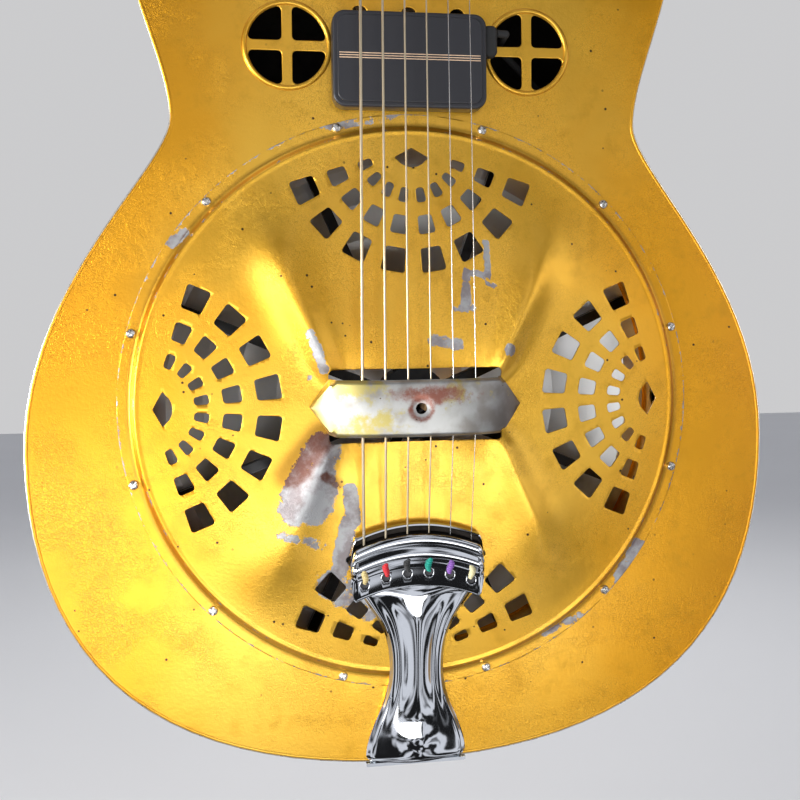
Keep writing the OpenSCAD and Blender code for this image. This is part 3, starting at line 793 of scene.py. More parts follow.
def sheet_from(
    name: str, height: Callable[[float, float], Vector], rows: Sequence[float], cols: Sequence[float],
    thick: float, wrap: bool = False,
) -> bpy.types.Object:
    """A grid surface given a thickness on its underside.

    Args:
        name: Piece name.
        height: Gives the point of the outer face for a row and a column value.
        rows: Row values.
        cols: Column values.
        thick: Thickness in millimetres.
        wrap: True if the last column joins the first.

    Returns:
        The closed piece.
    """
    verts = [height(r, c) for r in rows for c in cols]
    wide = len(cols)
    span = wide if wrap else wide - 1
    faces = [
        (i * wide + j, i * wide + (j + 1) % wide, (i + 1) * wide + (j + 1) % wide, (i + 1) * wide + j)
        for i in range(len(rows) - 1)
        for j in range(span)
    ]
    piece = piece_from(name, verts, faces)
    outward = sum((f.normal.y for f in piece.data.polygons), 0.0) < 0.0
    if not outward:
        piece.data.flip_normals()
    skin = piece.modifiers.new("thickness", "SOLIDIFY")
    skin.thickness = thick * MM
    skin.offset = -1.0
    return settle(piece)


def carve(piece: bpy.types.Object, cutter: bpy.types.Object) -> None:
    """Cuts a closed piece with another and removes the cutter."""
    cut = piece.modifiers.new("cut", "BOOLEAN")
    cut.operation = "DIFFERENCE"
    cut.object = cutter
    cut.solver = "MANIFOLD"
    settle(piece)
    bpy.data.objects.remove(cutter)


def prisms(name: str, outlines: Sequence[Sequence[Point]], low: float, high: float) -> bpy.types.Object:
    """Upright prisms over several outlines, as one cutter."""
    verts: list[Vector] = []
    faces: list[Sequence[int]] = []
    for outline in outlines:
        base = len(verts)
        size = len(outline)
        verts += [at(u, v, low) for u, v in outline] + [at(u, v, high) for u, v in outline]
        faces += [(base + i, base + (i + 1) % size, base + size + (i + 1) % size, base + size + i)
                  for i in range(size)]
        faces += [tuple(base + i for i in range(size)), tuple(base + size + i for i in range(size))]
    return piece_from(name, verts, faces)


def merge(name: str, parts: Sequence[bpy.types.Object]) -> bpy.types.Object:
    """Joins several pieces of one finish into the first and renames it."""
    work = bmesh.new()
    for part in parts:
        work.from_mesh(part.data)
    mesh = bpy.data.meshes.new(name)
    work.to_mesh(mesh)
    work.free()
    for part in parts:
        bpy.data.objects.remove(part)
    piece = bpy.data.objects.new(name, mesh)
    bpy.context.scene.collection.objects.link(piece)
    return piece


class Assembly:
    """Shared ways of putting a sub-assembly's pieces on the guitar."""

    def fit(
        self, piece: bpy.types.Object, finish: Finish, slot: Slot, nodes: Sequence[str] = (),
        body: str = "guitar",
    ) -> bpy.types.Object:
        """Gives a new piece its finish and its place in the frame.

        Args:
            piece: The piece.
            finish: Its finish.
            slot: The record's material slot it belongs to; not used.
            nodes: CAD nodes that it stands for.
            body: CAD body that it rides on.

        Returns:
            The piece.
        """
        if not any(piece.data.materials):
            piece.data.materials.clear()
            piece.data.materials.append(finish.material())
        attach(piece, body)
        if nodes:
            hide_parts(*nodes)
        LOG.info("piece %s: %s on %s", piece.name, finish.name.lower(), body)
        return piece

    def dress(self, finish: Finish, *nodes: str, edge: float = 0.0) -> None:
        """Gives CAD nodes a finish, and a fine bevel where edge is not zero."""
        for name in nodes:
            node = frame["nodes"][name]
            if node.material_slots:
                for holder in node.material_slots:
                    holder.material = finish.material()
            else:
                node.data.materials.append(finish.material())
            if edge:
                bevel = node.modifiers.new("edge", "BEVEL")
                bevel.width = edge * MM
                bevel.segments = 2
                bevel.limit_method = "ANGLE"
                bevel.angle_limit = math.radians(40.0)
            LOG.info("node %s: %s", name, finish.name.lower())


# ---------------------------------------------------------------- body


@dataclass
class BodyShell(Assembly):
    """Top, back and rim of the body, with its round windows.

    Attributes:
        low_v: Height of the widest line of the lower bout.
        waist: Half width and height of the waist.
        upper: Half width and height of the upper bout.
        sheet: Sheet thickness.
        overhang: How far the plates stand past the rim.
        window: Half distance, height and radius of the windows.
        bar: Width of the window's cross bars.
        well_r: Radius of the opening under the cover.
        steps: Steps in each curve of the outline.
    """

    low_v: float = 157.6
    waist: Point = (113.6, 315.7)
    upper: Point = (136.5, 421.0)
    sheet: float = 1.2
    overhang: float = 3.0
    window: tuple[float, float, float] = (59.0, 351.0, 19.0)
    bar: float = 5.0
    well_r: float = 133.0
    steps: int = 22

    def half_edge(self) -> list[Point]:
        """The treble half of the outline, from the tail to the neck."""
        low, waist, upper = (LAYOUT.low_w, self.low_v), self.waist, self.upper
        length = LAYOUT.body_l
        curves = (
            ((0.0, 0.0), (122.0, 0.0), (low[0], low[1] - 102.0), low),
            (low, (low[0], low[1] + 80.0), (waist[0], waist[1] - 24.0), waist),
            (waist, (waist[0], waist[1] + 26.0), (upper[0], upper[1] - 40.0), upper),
            (upper, (upper[0], upper[1] + 44.0), (78.0, length), (0.0, length)),
        )
        points = [bezier(curve, k / self.steps) for curve in curves for k in range(self.steps)]
        return points + [(0.0, length)]

    def outline(self, inset: float = 0.0) -> list[Point]:
        """The closed outline, moved inwards along its normal."""
        half = self.half_edge()
        ring = half + [(-u, v) for u, v in reversed(half[1:-1])]
        out: list[Point] = []
        for k, (u, v) in enumerate(ring):
            before, after = ring[k - 1], ring[(k + 1) % len(ring)]
            along = Vector((after[0] - before[0], after[1] - before[1])).normalized()
            out.append((u - along.y * inset, v + along.x * inset))
        return out

    def quadrant(self, side: int, turn: int) -> list[Point]:
        """One of the four openings of a window, corners rounded."""
        offset, height, radius = self.window
        half = self.bar / 2
        lean = math.degrees(math.asin(half / radius))
        corner = rounded([(half, half)] + arc((0, 0), radius, lean, 90 - lean, 9), 2.0, 3)
        angle = math.radians(90 * turn)
        cos, sin = math.cos(angle), math.sin(angle)
        return [(side * offset + u * cos - v * sin, height + u * sin + v * cos) for u, v in corner]

    def build(self) -> None:
        """Makes and dresses the shell."""
        top_w = LAYOUT.top_w
        holes = [circle((0.0, LAYOUT.centre_v), self.well_r, 160)]
        holes += [self.quadrant(side, turn) for side in (-1, 1) for turn in range(4)]
        holes += [circle((24.0 * k, self.window[1] + 16.0), 4.0, 32) for k in (-1, 0, 1)]
        top = plate("top_skin", [self.outline()] + holes, top_w - self.sheet, top_w, 0.35)
        self.fit(top, Finish.BODY, Slot.LACQUER, ["top_plate"])
        back = plate("back_skin", [self.outline()], -top_w, self.sheet - top_w, 0.35)
        self.line(back, lambda face: face.normal.y < -0.9)
        self.fit(back, Finish.BODY, Slot.LACQUER, ["back_plate"])
        for name, level in (("front_roll", top_w - 0.9), ("back_roll", 0.9 - top_w)):
            path = [at(u, v, level) for u, v in self.outline(0.3)]
            self.fit(tube(name, path, 1.15, 10, closed=True), Finish.BODY, Slot.LACQUER)
        # painted highlight: a thin pale metal line along each rolled edge stands in for its highlight
        for name, level in (("front_painted_highlight", top_w - 0.35), ("back_painted_highlight", 0.35 - top_w)):
            path = [at(u, v, level) for u, v in self.outline(-0.55)]
            self.fit(tube(name, path, 0.42, 8, closed=True), Finish.EDGE, Slot.NICKEL)
        self.rim()
        for side, label in ((-1, "bass"), (1, "treble")):
            self.window_ring(side, label)
        self.dress(Finish.BODY, "sound_well")
        self.dress(Finish.MAPLE, "tail_block", "neck_stick")

    def rim(self) -> None:
        """The side band, slightly proud at its two seams, as a closed strip."""
        level = LAYOUT.top_w - self.sheet
        profile = [(0.0, -level), (0.55, -level + 2.5), (0.0, -level + 5.5), (0.0, 0.0),
                   (0.0, level - 5.5), (0.55, level - 2.5), (0.0, level)]
        rings = [[at(u, v, w) for u, v in self.outline(self.overhang - proud)] for proud, w in profile]
        inner = self.outline(self.overhang + self.sheet)
        rings += [[at(u, v, w) for u, v in inner] for w in (level, -level)]
        rings.append(rings[0])
        band = loft("rim_skin", rings, caps=False)
        crisp(band.data)
        count = len(inner)
        self.line(band, lambda face: face.index // count == len(profile))
        self.fit(band, Finish.BODY, Slot.LACQUER, ["rim_band"])

    def line(self, piece: bpy.types.Object, inside: Callable[[bpy.types.MeshPolygon], bool]) -> None:
        """Gives a shell piece near-black metal on its inner faces, as painted shade of the body's cavity.

        Args:
            piece: The shell piece, before it has a finish.
            inside: Tells whether a face is an inner one.
        """
        piece.data.materials.append(Finish.BODY.material())
        # the inner faces get the near-black painted shade
        piece.data.materials.append(Finish.INSIDE.material())
        for face in piece.data.polygons:
            face.material_index = int(inside(face))

    def window_ring(self, side: int, label: str) -> None:
        """The pressed ring round a window and the raised spine of its cross."""
        offset, height, radius = self.window
        profile = [(radius + 0.1, -0.7), (radius + 0.2, 0.5), (radius + 0.9, 1.0), (radius + 1.7, 0.9),
                   (radius + 2.6, 0.1), (radius + 2.7, -0.7)]
        centre = at(side * offset, height, LAYOUT.top_w)
        place = Matrix.Translation(centre) @ Matrix.Rotation(math.pi / 2, 4, "X")
        ring = turned(f"window_ring_{label}", profile + profile[:1], 96, place)
        work = bmesh.new()
        work.from_mesh(ring.data)
        for face in [f for f in work.faces if len(f.verts) > 4]:
            work.faces.remove(face)
        bmesh.ops.remove_doubles(work, verts=work.verts, dist=1e-7)
        bmesh.ops.recalc_face_normals(work, faces=work.faces)
        work.to_mesh(ring.data)
        work.free()
        crisp(ring.data, 50)
        self.fit(ring, Finish.BODY, Slot.LACQUER)


# ---------------------------------------------------------------- coverplate and resonator


@dataclass(frozen=True)
class Rub:
    """One stroke of wear on the cover, from one point to another, relative to its centre.

    Attributes:
        start: First end.
        end: Other end.
        wide: Half width of the stroke.
        depth: Strength in the middle of the stroke.
    """

    start: Point
    end: Point
    wide: float
    depth: float = 1.0

    def depth_at(self, u: float, v: float) -> float:
        """Strength of the stroke at a point."""
        start, end, here = Vector(self.start), Vector(self.end), Vector((u, v))
        along = end - start
        share = min(1.0, max(0.0, (here - start).dot(along) / max(1e-6, along.length_squared)))
        gap = (here - start - along * share).length
        return self.depth * (1.0 - smooth(gap, self.wide * 0.55, self.wide * 1.35))


BARE_RIDGE = (
    Rub((-45, -20), (-52, -32), 9), Rub((-52, -32), (-58, -48), 9.5), Rub((-46, -36), (-50, -48), 10),
    Rub((-32, -40), (-31, -56), 4), Rub((-33, -56), (-38, -80), 4.5), Rub((-42, -86), (-24, -98), 8, 0.9),
)
SCRATCHED_STRIP = (
    Rub((35.7, 78), (36.6, 62), 1.9), Rub((36, 62), (26, 64), 1.8), Rub((26, 63), (25, 47), 2.6),
    Rub((20, 46), (29, 46), 1.5), Rub((36, 58), (40, 57), 1.3), Rub((9, 31), (21, 29), 3.4, 0.8),
)
RIDGE_SPOTS = (
    Rub((-50, 35), (-44, 18), 2.6), Rub((-51, 14), (-51, 14.5), 1.8, 0.9), Rub((46, 26.5), (46, 25), 3.0),
    Rub((-66, -60), (-46, -66), 3, 0.66),
)
RIM_SPOTS = (
    Rub((-114, 78), (-107.5, 84), 2.4), Rub((105, -92), (116, -75), 3.2),
    Rub((-40, 133.5), (-8, 139), 1.6, 0.75), Rub((66, -120), (84, -110), 2.0, 0.7),
)
RUBS = BARE_RIDGE + SCRATCHED_STRIP + RIDGE_SPOTS + RIM_SPOTS
BLOOMS = (Rub((-45, -14), (-60, -32), 8), Rub((-44, -33), (-38, -37), 3), Rub((-56, -44), (-50, -26), 4, 0.5))


@dataclass
class Coverplate(Assembly):
    """The pierced cover with its pressed handrest.

    Attributes:
        radius: Outer radius.
        bead_r: Radius where the dome starts.
        skin: Sheet thickness.
        focus: Distance of each fan's focus from the centre.
        rows: Distance from the focus, radial size and width of the holes of each fan row.
        spokes: Angles of the holes about the fan's axis, mirrored on the other side.
        gap: Half length and half width of the opening under the handrest.
        crest_from: Where the first pressed ridge's crest leaves the opening's corner.
        crest_lean: Sideways slope of the crest lines.
        rubs: Strokes where the lacquer is rubbed through.
        blooms: Strokes of brown bloom on the bare metal.
        rest_tip: Half length of the handrest.
        rest_side: Where the handrest starts to narrow.
        rest_half: Half width of the handrest.
        rest_rise: Height of the handrest above the top plate.
        rest_drop: How far the handrest's tips lie below its middle.
        rest_hole: Radius of the handrest's screw hole.
    """

    radius: float = 141.0
    bead_r: float = 131.5
    skin: float = 1.0
    focus: float = 125.5
    rows: tuple[tuple[float, float, float], ...] = ((24.4, 7.1, 4.3), (38.8, 9.0, 7.6), (56.0, 11.8, 11.0))
    spokes: tuple[float, ...] = (9.6, 28.7, 47.8, 67.0)
    gap: Point = (42.0, 17.6)
    crest_from: Point = (42.0, 18.0)
    crest_lean: float = 0.42
    rubs: tuple[Rub, ...] = RUBS
    blooms: tuple[Rub, ...] = BLOOMS
    rest_tip: float = 51.0
    rest_side: float = 42.0
    rest_half: float = 13.3
    rest_rise: float = 30.0
    rest_drop: float = 15.5
    rest_hole: float = 2.65

    def rise(self, u: float, v: float) -> float:
        """Height of the outer face above the top plate: rim, bead, fan panels and four pressed ridges."""
        r = math.hypot(u, v)
        if r > self.bead_r:
            lip = 0.8 * math.exp(-(((r - 133.0) / 1.3) ** 2))
            return self.skin + 3.2 * (1.0 - smooth(r, self.bead_r, 135.6)) + lip
        reach = 1.0 - r / self.bead_r
        panel = 4.2 + 8.2 * (1.0 - (r / self.bead_r) ** 1.15)
        across = 0.5 - 0.5 * math.cos(4.0 * math.atan2(v, u))
        swell = 1.7 * across**1.5 * smooth(reach, 0.0, 0.35) * (1.0 - smooth(reach, 0.62, 0.9))
        out = abs(v) - self.crest_from[1]
        aside = (abs(u) - self.crest_from[0] - self.crest_lean * out) * math.cos(math.atan(self.crest_lean))
        wide = max(4.0, 5.4 + 0.15 * out)
        fade = smooth(out, -14.0, 4.0) * smooth(reach, 0.03, 0.4)
        crest = 4.4 * fade * math.exp(-((aside / wide) ** 2) ** 0.8)
        return panel + swell + crest

    def hole(self, ring: tuple[float, float, float], spoke: float, quarter: int) -> list[Point]:
        """Outline of one fan hole."""
        away, deep, wide = ring
        flare = wide * deep / 4 / away
        corners = [(-wide / 2 - flare, -deep / 2), (wide / 2 + flare, -deep / 2),
                   (wide / 2 - flare, deep / 2), (-wide / 2 + flare, deep / 2)]
        return self.turn_out(rounded(corners, 1.4, 3), math.radians(spoke), away, quarter)

    def turn_out(self, shape: Sequence[Point], spoke: float, away: float, quarter: int) -> list[Point]:
        """Moves a shape drawn about a fan's focus to its fan."""
        quart = math.radians(90 * quarter)
        out: list[Point] = []
        for x, y in shape:
            y -= away
            x, y = x * math.cos(spoke) - y * math.sin(spoke), x * math.sin(spoke) + y * math.cos(spoke)
            y += self.focus
            u, v = x * math.cos(quart) - y * math.sin(quart), x * math.sin(quart) + y * math.cos(quart)
            out.append((u, v + LAYOUT.centre_v))
        return out

    def lens(self, quarter: int) -> list[Point]:
        """Outline of the lens-shaped hole at the head of a fan."""
        inner = [(8.7 * math.sin(a), 123.4 - 8.6 * math.cos(a)) for a in
                 (math.radians(18 * k) for k in range(-3, 4))]
        corners = [(-8.7, 119.4)] + inner + [(8.7, 119.4), (0.0, 124.3)]
        shape = [(x, y - self.focus) for x, y in rounded(corners, 0.6, 2)]
        return self.turn_out(shape, 0.0, 0.0, quarter)

    def wear(self, u: float, v: float) -> float:
        """How far the lacquer is rubbed through at a point, from 0 to 1."""
        worst = max(rub.depth_at(u, v) for rub in self.rubs)
        r = math.hypot(u, v)
        rim = 0.62 * math.exp(-(((r - 140.9) / 0.7) ** 2)) + 0.45 * math.exp(-(((r - 133.1) / 0.8) ** 2))
        return min(1.0, worst + rim)

    def bloom_and_crease_shade(self, u: float, v: float) -> float:
        """How brown the cover is at a point: real brown bloom in its blooms, and painted shade in the crease
        inside the flange.
        """
        # painted shade: a dark line in the crease inside the flange
        crease = 0.85 * math.exp(-(((math.hypot(u, v) - 136.2) / 0.8) ** 2))
        return max(crease, max(rub.depth_at(u, v) for rub in self.blooms))

    def paint(self, piece: bpy.types.Object) -> None:
        """Stores the wear, and the brown bloom together with the painted crease shade, on every vertex of the
        cover.
        """
        spots = [(p.co.x / MM, p.co.z / MM - LAYOUT.centre_v) for p in piece.data.vertices]
        worn = piece.data.attributes.new("worn", "FLOAT", "POINT")
        worn.data.foreach_set("value", [self.wear(u, v) for u, v in spots])
        # the bloom attribute also carries the painted crease shade
        bloom = piece.data.attributes.new("bloom", "FLOAT", "POINT")
        bloom.data.foreach_set("value", [self.bloom_and_crease_shade(u, v) for u, v in spots])

    def build(self) -> None:
        """Makes the cover and its handrest, and dresses their screws."""
        centre = LAYOUT.centre_v

        def point(r: float, turn: float) -> Vector:
            """A point of the cover's outer face."""
            u, v = r * math.cos(turn), r * math.sin(turn)
            return at(u, v + centre, LAYOUT.top_w + self.rise(u, v))

        radii = [10.0 + 1.5 * k for k in range(81)] + [131.2, 131.9, 132.6, 133.2, 133.8, 134.5, 135.2, 136.0,
                                                      137.5, 139.0, 140.4, self.radius]
        turns = [2 * math.pi * k / 288 for k in range(288)]
        cover = sheet_from("cover", point, radii, turns, self.skin, wrap=True)
        outlines = [self.hole(ring, sign * spoke, quarter) for quarter in range(4) for ring in self.rows
                    for spoke in self.spokes for sign in (-1, 1)]
        outlines += [self.lens(quarter) for quarter in range(4)]
        half_u, half_v = self.gap
        box = [(-half_u, centre - half_v), (half_u, centre - half_v), (half_u, centre + half_v),
               (-half_u, centre + half_v)]
        outlines.append(rounded(box, 2.4, 4))
        carve(cover, prisms("cover_holes", outlines, LAYOUT.top_w - 6, LAYOUT.top_w + 30))
        cover.data.materials.clear()
        cover.data.materials.append(Finish.COVER.material())
        cover.data.materials.append(Finish.EDGE.material())
        rim = cover.modifiers.new("hole_edges", "BEVEL")
        rim.width = 0.42 * MM
        rim.segments = 1
        rim.limit_method = "ANGLE"
        rim.angle_limit = math.radians(55.0)
        rim.material = 1
        settle(cover, 45)
        self.paint(cover)
        self.fit(cover, Finish.COVER, Slot.LACQUER, ["coverplate"])
        self.handrest()
        self.dress(Finish.NICKEL, "coverplate_screws", "spider_screw", edge=0.12)

    def rest_point(self, u: float, s: float) -> Vector:
        """A point of the handrest, u along it and s from -1 to 1 across it."""
        reach = abs(u)
        tip = max(0.0, (reach - self.rest_side) / (self.rest_tip - self.rest_side))
        v = s * (self.rest_half * (1.0 - tip) + 0.02)
        crest = self.rest_rise - self.rest_drop * (reach / self.rest_tip) ** 3.4
        floor = self.rise(u, v) - 0.3
        roll = 1.6 * smooth(abs(s), 0.88, 1.0) ** 1.6 + 0.7 * s * s
        hip = smooth(reach, self.rest_side - 3.0, self.rest_side) * smooth(abs(s), 0.8, 1.0)
        dimple = 0.9 * math.exp(-((u * u + v * v) / 22.0) ** 2)
        roof = max(crest - roll - dimple, floor)
        return at(u, v + LAYOUT.centre_v, LAYOUT.top_w + roof - hip * (roof - floor))

    def handrest(self) -> None:
        """The pressed strap over the bridge: arched, hipped at both ends, with a screw hole."""
        rows = [-self.rest_tip + 2 * self.rest_tip * k / 136 for k in range(137)]
        cols = [-1.0, -0.985, -0.96, -0.93, -0.89, -0.84] + [-0.8 + 0.1 * k for k in range(17)]
        cols += [0.84, 0.89, 0.93, 0.96, 0.985, 1.0]
        rest = sheet_from("handrest", self.rest_point, rows, cols, 1.0)
        round_hole = circle((0.0, LAYOUT.centre_v), self.rest_hole, 32)
        hole = prisms("screw_hole", [round_hole], LAYOUT.top_w + 20, LAYOUT.top_w + 40)
        carve(rest, hole)
        layer = rest.data.attributes.new("bloom", "FLOAT", "POINT")
        values = []
        for p in rest.data.vertices:
            u, v = p.co.x / MM, p.co.z / MM - LAYOUT.centre_v
            smear = 0.95 * math.exp(-(((u - 6) / 20) ** 2 + ((v - 6.5) / 5.5) ** 2))
            values.append(max(smear, 0.7 * math.exp(-((math.hypot(u, v) - 5) / 2) ** 2)))
        layer.data.foreach_set("value", values)
        self.fit(rest, Finish.HANDREST, Slot.LACQUER)


@dataclass
class Resonator(Assembly):
    """Cone, spider and saddles under the cover."""

    def build(self) -> None:
        """Dresses the resonator's CAD nodes."""
        self.dress(Finish.SPUN, "resonator_cone")
        self.dress(Finish.CAST, "spider_bridge")
        self.dress(Finish.MAPLE, "saddle_bass", "saddle_treble", edge=0.15)


# ---------------------------------------------------------------- tailpiece and strings


@dataclass
class Tailpiece(Assembly):
    """Chromed trapeze: waisted strap over the tail, ribbed string block, six key holes.

    Attributes:
        foot_half: Half width at the tail.
        stations: Height and half width of the strap, from the tail up.
        hole_v: Height of the middle key holes.
        recess: Which stretches of the block's section lie in its recess, whose faces get near-black painted
            shade.
        block_half: Half width of the string block.
        arch: How far the block's ends drop towards the tail.
        spread: Distance between the outer strings at the block.
    """

    foot_half: float = 24.9
    block_half: float = 32.4
    arch: float = 7.6
    spread: float = 52.0
    hole_v: float = 97.2
    recess: tuple[int, ...] = (15, 16, 17, 18)
    stations: tuple[Point, ...] = (
        (-12.0, 25.0), (-2.0, 24.9), (8.0, 24.4), (19.0, 21.0), (30.0, 16.4), (41.0, 13.7), (52.0, 13.3),
        (62.0, 14.6), (72.0, 18.4), (82.0, 25.0), (92.0, 31.6), (102.0, 32.0),
    )

    def half_at(self, v: float) -> float:
        """Half width of the strap at a height, on a smooth curve through the stations."""
        rows = self.stations
        k = max(1, min(len(rows) - 3, sum(1 for row in rows if row[0] <= v) - 1))
        (_, h0), (v1, h1), (v2, h2), (_, h3) = rows[k - 1:k + 3]
        t = min(1.0, max(0.0, (v - v1) / (v2 - v1)))
        bend = 2 * h1 + (h2 - h0) * t + (2 * h0 - 5 * h1 + 4 * h2 - h3) * t * t
        return 0.5 * (bend + (3 * h1 - h0 - 3 * h2 + h3) * t**3)

    def strap_point(self, v: float, s: float) -> Vector:
        """A point of the strap, v along it and s from -1 to 1 across it."""
        half = self.half_at(v)
        w = LAYOUT.top_w + 1.6 + 9.3 * (v + 1.2) / 89.2 - 3.6 * (1.0 - smooth(v, -2.2, 3.4)) ** 1.6
        w -= 0.5 * max(0.0, v - 87.5)
        narrow = smooth(v, 12.0, 42.0) * (1.0 - smooth(v, 74.0, 92.0))
        crown = 3.2 * (1.0 - abs(s) ** 2.0) + 2.6 * narrow * math.exp(-((s / 0.3) ** 2))
        flute = 1.8 * narrow * math.exp(-(((abs(s) - 0.6) / 0.17) ** 2))
        roll = 1.8 * smooth(abs(s), 0.84, 1.0) ** 2
        bump = 3.4 * math.exp(-(((s * half) / 9.0) ** 2 + ((v - 11.5) / 8.4) ** 2) ** 1.3)
        return at(s * half, v, w + crown - flute - roll + bump)

    def block_profile(self) -> list[Point]:
        """Section of the string block: lip, recess (painted dark as shade), two ribs and the hole shelf, in v
        and w.
        """
        return [(91.0, 10.6), (90.2, 11.6), (90.4, 13.0), (92.0, 13.9), (99.6, 14.3), (101.0, 14.7),
                (103.6, 15.9), (105.0, 17.0), (106.6, 17.5), (108.2, 17.2), (109.3, 16.2), (110.3, 15.9),
                (111.2, 16.8), (113.0, 17.6), (115.0, 17.3), (116.3, 16.2), (116.9, 14.0), (117.2, 12.3),
                (119.2, 12.1), (119.8, 14.4), (120.3, 15.3), (121.0, 15.2), (121.5, 14.0), (121.3, 12.0),
                (119.8, 10.8)]

    def block(self) -> bpy.types.Object:
        """The arched string block with its key holes."""
        rings = []
        count = 56
        profile = self.block_profile()
        middle = Vector((106.0, 13.4))
        for k in range(count + 1):
            s = -1.0 + 2.0 * k / count
            close = 1.0 - 0.55 * max(0.0, (abs(s) - 0.93) / 0.07) ** 2.2
            u = self.block_half * (s if abs(s) < 1 else math.copysign(1.0, s))
            drop = self.arch * s * s
            ring = []
            for v, w in profile:
                spot = middle + (Vector((v, w)) - middle) * close
                ring.append(at(u, spot.x - drop, LAYOUT.top_w + spot.y))
            rings.append(ring)
        block = loft("string_block", rings)
        block.data.materials.append(Finish.CHROME.material())
        block.data.materials.append(Finish.INSIDE.material())
        # the recess faces get near-black painted shade instead of chrome
        for face in block.data.polygons:
            face.material_index = int(face.index % len(profile) in self.recess)
        crisp(block.data, 34)
        outlines = []
        for i in range(6):
            u = self.string_u(i)
            v = self.hole_v - self.arch * (u / self.block_half) ** 2
            neck = [(u - 1.0, v + 1.8), (u - 1.0, v + 6.3), (u + 1.0, v + 6.3), (u + 1.0, v + 1.8)]
            outlines.append(arc((u, v), 2.2, 118, 422, 18) + [neck[3], neck[2], neck[1], neck[0]][1:3])
        carve(block, prisms("key_holes", outlines, LAYOUT.top_w + 11.6, LAYOUT.top_w + 22))
        return block

    def string_u(self, index: int) -> float:
        """Where a string meets the block, bass first."""
        return -self.spread / 2 + index * self.spread / 5

    def tail_strap(self) -> bpy.types.Object:
        """The strap that folds over the tail to the end pin."""
        rings = []
        for k in range(19):
            share = k / 18
            w = LAYOUT.top_w + 1.6 - share * (LAYOUT.top_w + 12.0)
            half = self.foot_half - 15.5 * smooth(share, 0.1, 0.85)
            half *= 1.0 if share < 0.85 else math.sqrt(max(0.05, 1 - ((share - 0.85) / 0.16) ** 2))
            rings.append([at(-half, -0.4, w), at(-half, -1.6, w), at(-half + 0.8, -2.0, w),
                          at(half - 0.8, -2.0, w), at(half, -1.6, w), at(half, -0.4, w)])
        strap = loft("tail_strap", rings)
        crisp(strap.data, 50)
        cutter = turned("pin_hole", [(4.2, -5.0), (4.2, 5.0)], 32,
                        Matrix.Translation((0, 0, -0.001)))
        carve(strap, cutter)
        return strap

    def build(self) -> None:
        """Makes the tailpiece, the ball ends and the end pin."""
        rows = [-1.9, -1.5, -0.9, 0.0, 0.8] + [1.8 + 1.9 * k for k in range(49)]
        cols = [-1.0, -0.97, -0.93, -0.88] + [-0.8 + 0.08 * k for k in range(21)] + [0.88, 0.93, 0.97, 1.0]
        strap = sheet_from("strap", self.strap_point, rows, cols, 1.5)
        self.fit(strap, Finish.CHROME, Slot.CHROME, ["tailpiece"])
        self.fit(self.block(), Finish.CHROME, Slot.CHROME)
        self.fit(self.tail_strap(), Finish.CHROME, Slot.CHROME)
        silks = (Finish.SILK_BRASS, Finish.SILK_RED, Finish.SILK_BLACK, Finish.SILK_GREEN,
                 Finish.SILK_PURPLE, Finish.SILK_PALE)
        for i, silk in enumerate(silks):
            self.ball_end(i, silk)
        self.end_pin()

    def ball_end(self, index: int, silk: Finish) -> None:
        """A grooved ball in its key hole, black as painted shade of the hole, and the coloured twist above
        it.
        """
        u = self.string_u(index)
        v = self.hole_v - self.arch * (u / self.block_half) ** 2
        profile = [(0.7, -0.9), (1.8, -0.9), (2.1, -0.5), (1.5, 0.0), (2.1, 0.4), (1.9, 0.8), (0.7, 0.6)]
        place = Matrix.Translation(at(u, v, LAYOUT.top_w + 12.4)) @ Matrix.Rotation(math.pi / 2, 4, "X")
        ball = turned(f"ball_{index + 1}", profile, 24, place)
        crisp(ball.data, 50)
        # the ball takes black plastic as painted shade of the dark key hole
        self.fit(ball, Finish.BLACK, Slot.BRASS, ["ball_ends"] if index == 0 else ())
        edge = [at(x, y, LAYOUT.top_w + 14.1) for x, y in arc((u, v), 2.35, 118, 422, 30)]
        self.fit(tube(f"hole_rim_{index + 1}", edge, 0.3, 8), Finish.CHROME, Slot.CHROME)
        path = []
        for k in range(97):
            share = k / 96
            turn = 2 * math.pi * 6.5 * share
            swell = 1.0 * math.sin(math.pi * (0.12 + 0.7 * share))
            lean = 0.5 * math.sin(5.0 * share + index)
            path.append(at(u + lean + swell * math.cos(turn), v + 0.9 + 6.6 * share,
                           LAYOUT.top_w + 14.3 + 1.9 * share + swell * math.sin(turn)))
        self.fit(tube(f"silk_{index + 1}", path, 0.62, 8), silk, Slot.BRASS)

    def end_pin(self) -> None:
        """The turned pin through the foot of the tailpiece."""
        profile = [(3.9, -24.0), (3.9, 2.0), (7.4, 2.15), (7.9, 2.7), (7.6, 3.5), (5.4, 4.8), (4.3, 6.4),
                   (4.2, 8.2), (5.2, 9.8), (6.3, 11.0), (6.6, 12.4), (6.0, 13.8), (4.4, 14.7), (1.4, 15.0)]
        pin = turned("pin", profile, 48, Matrix.Rotation(math.pi, 4, "X"))
        crisp(pin.data, 60)
        self.fit(pin, Finish.BLACK, Slot.PLASTIC, ["end_pin"])


@dataclass
class Strings(Assembly):
    """Six strings, four of them wound.

    Attributes:
        wound: The wound strings' nodes.
    """

    wound: tuple[str, ...] = ("string_3", "string_4", "string_5", "string_6")

    def build(self) -> None:
        """Dresses the strings."""
        self.dress(Finish.STEEL_WIRE, "string_1", "string_2")
        self.dress(Finish.WRAP, *self.wound)


# ---------------------------------------------------------------- pickup and jack


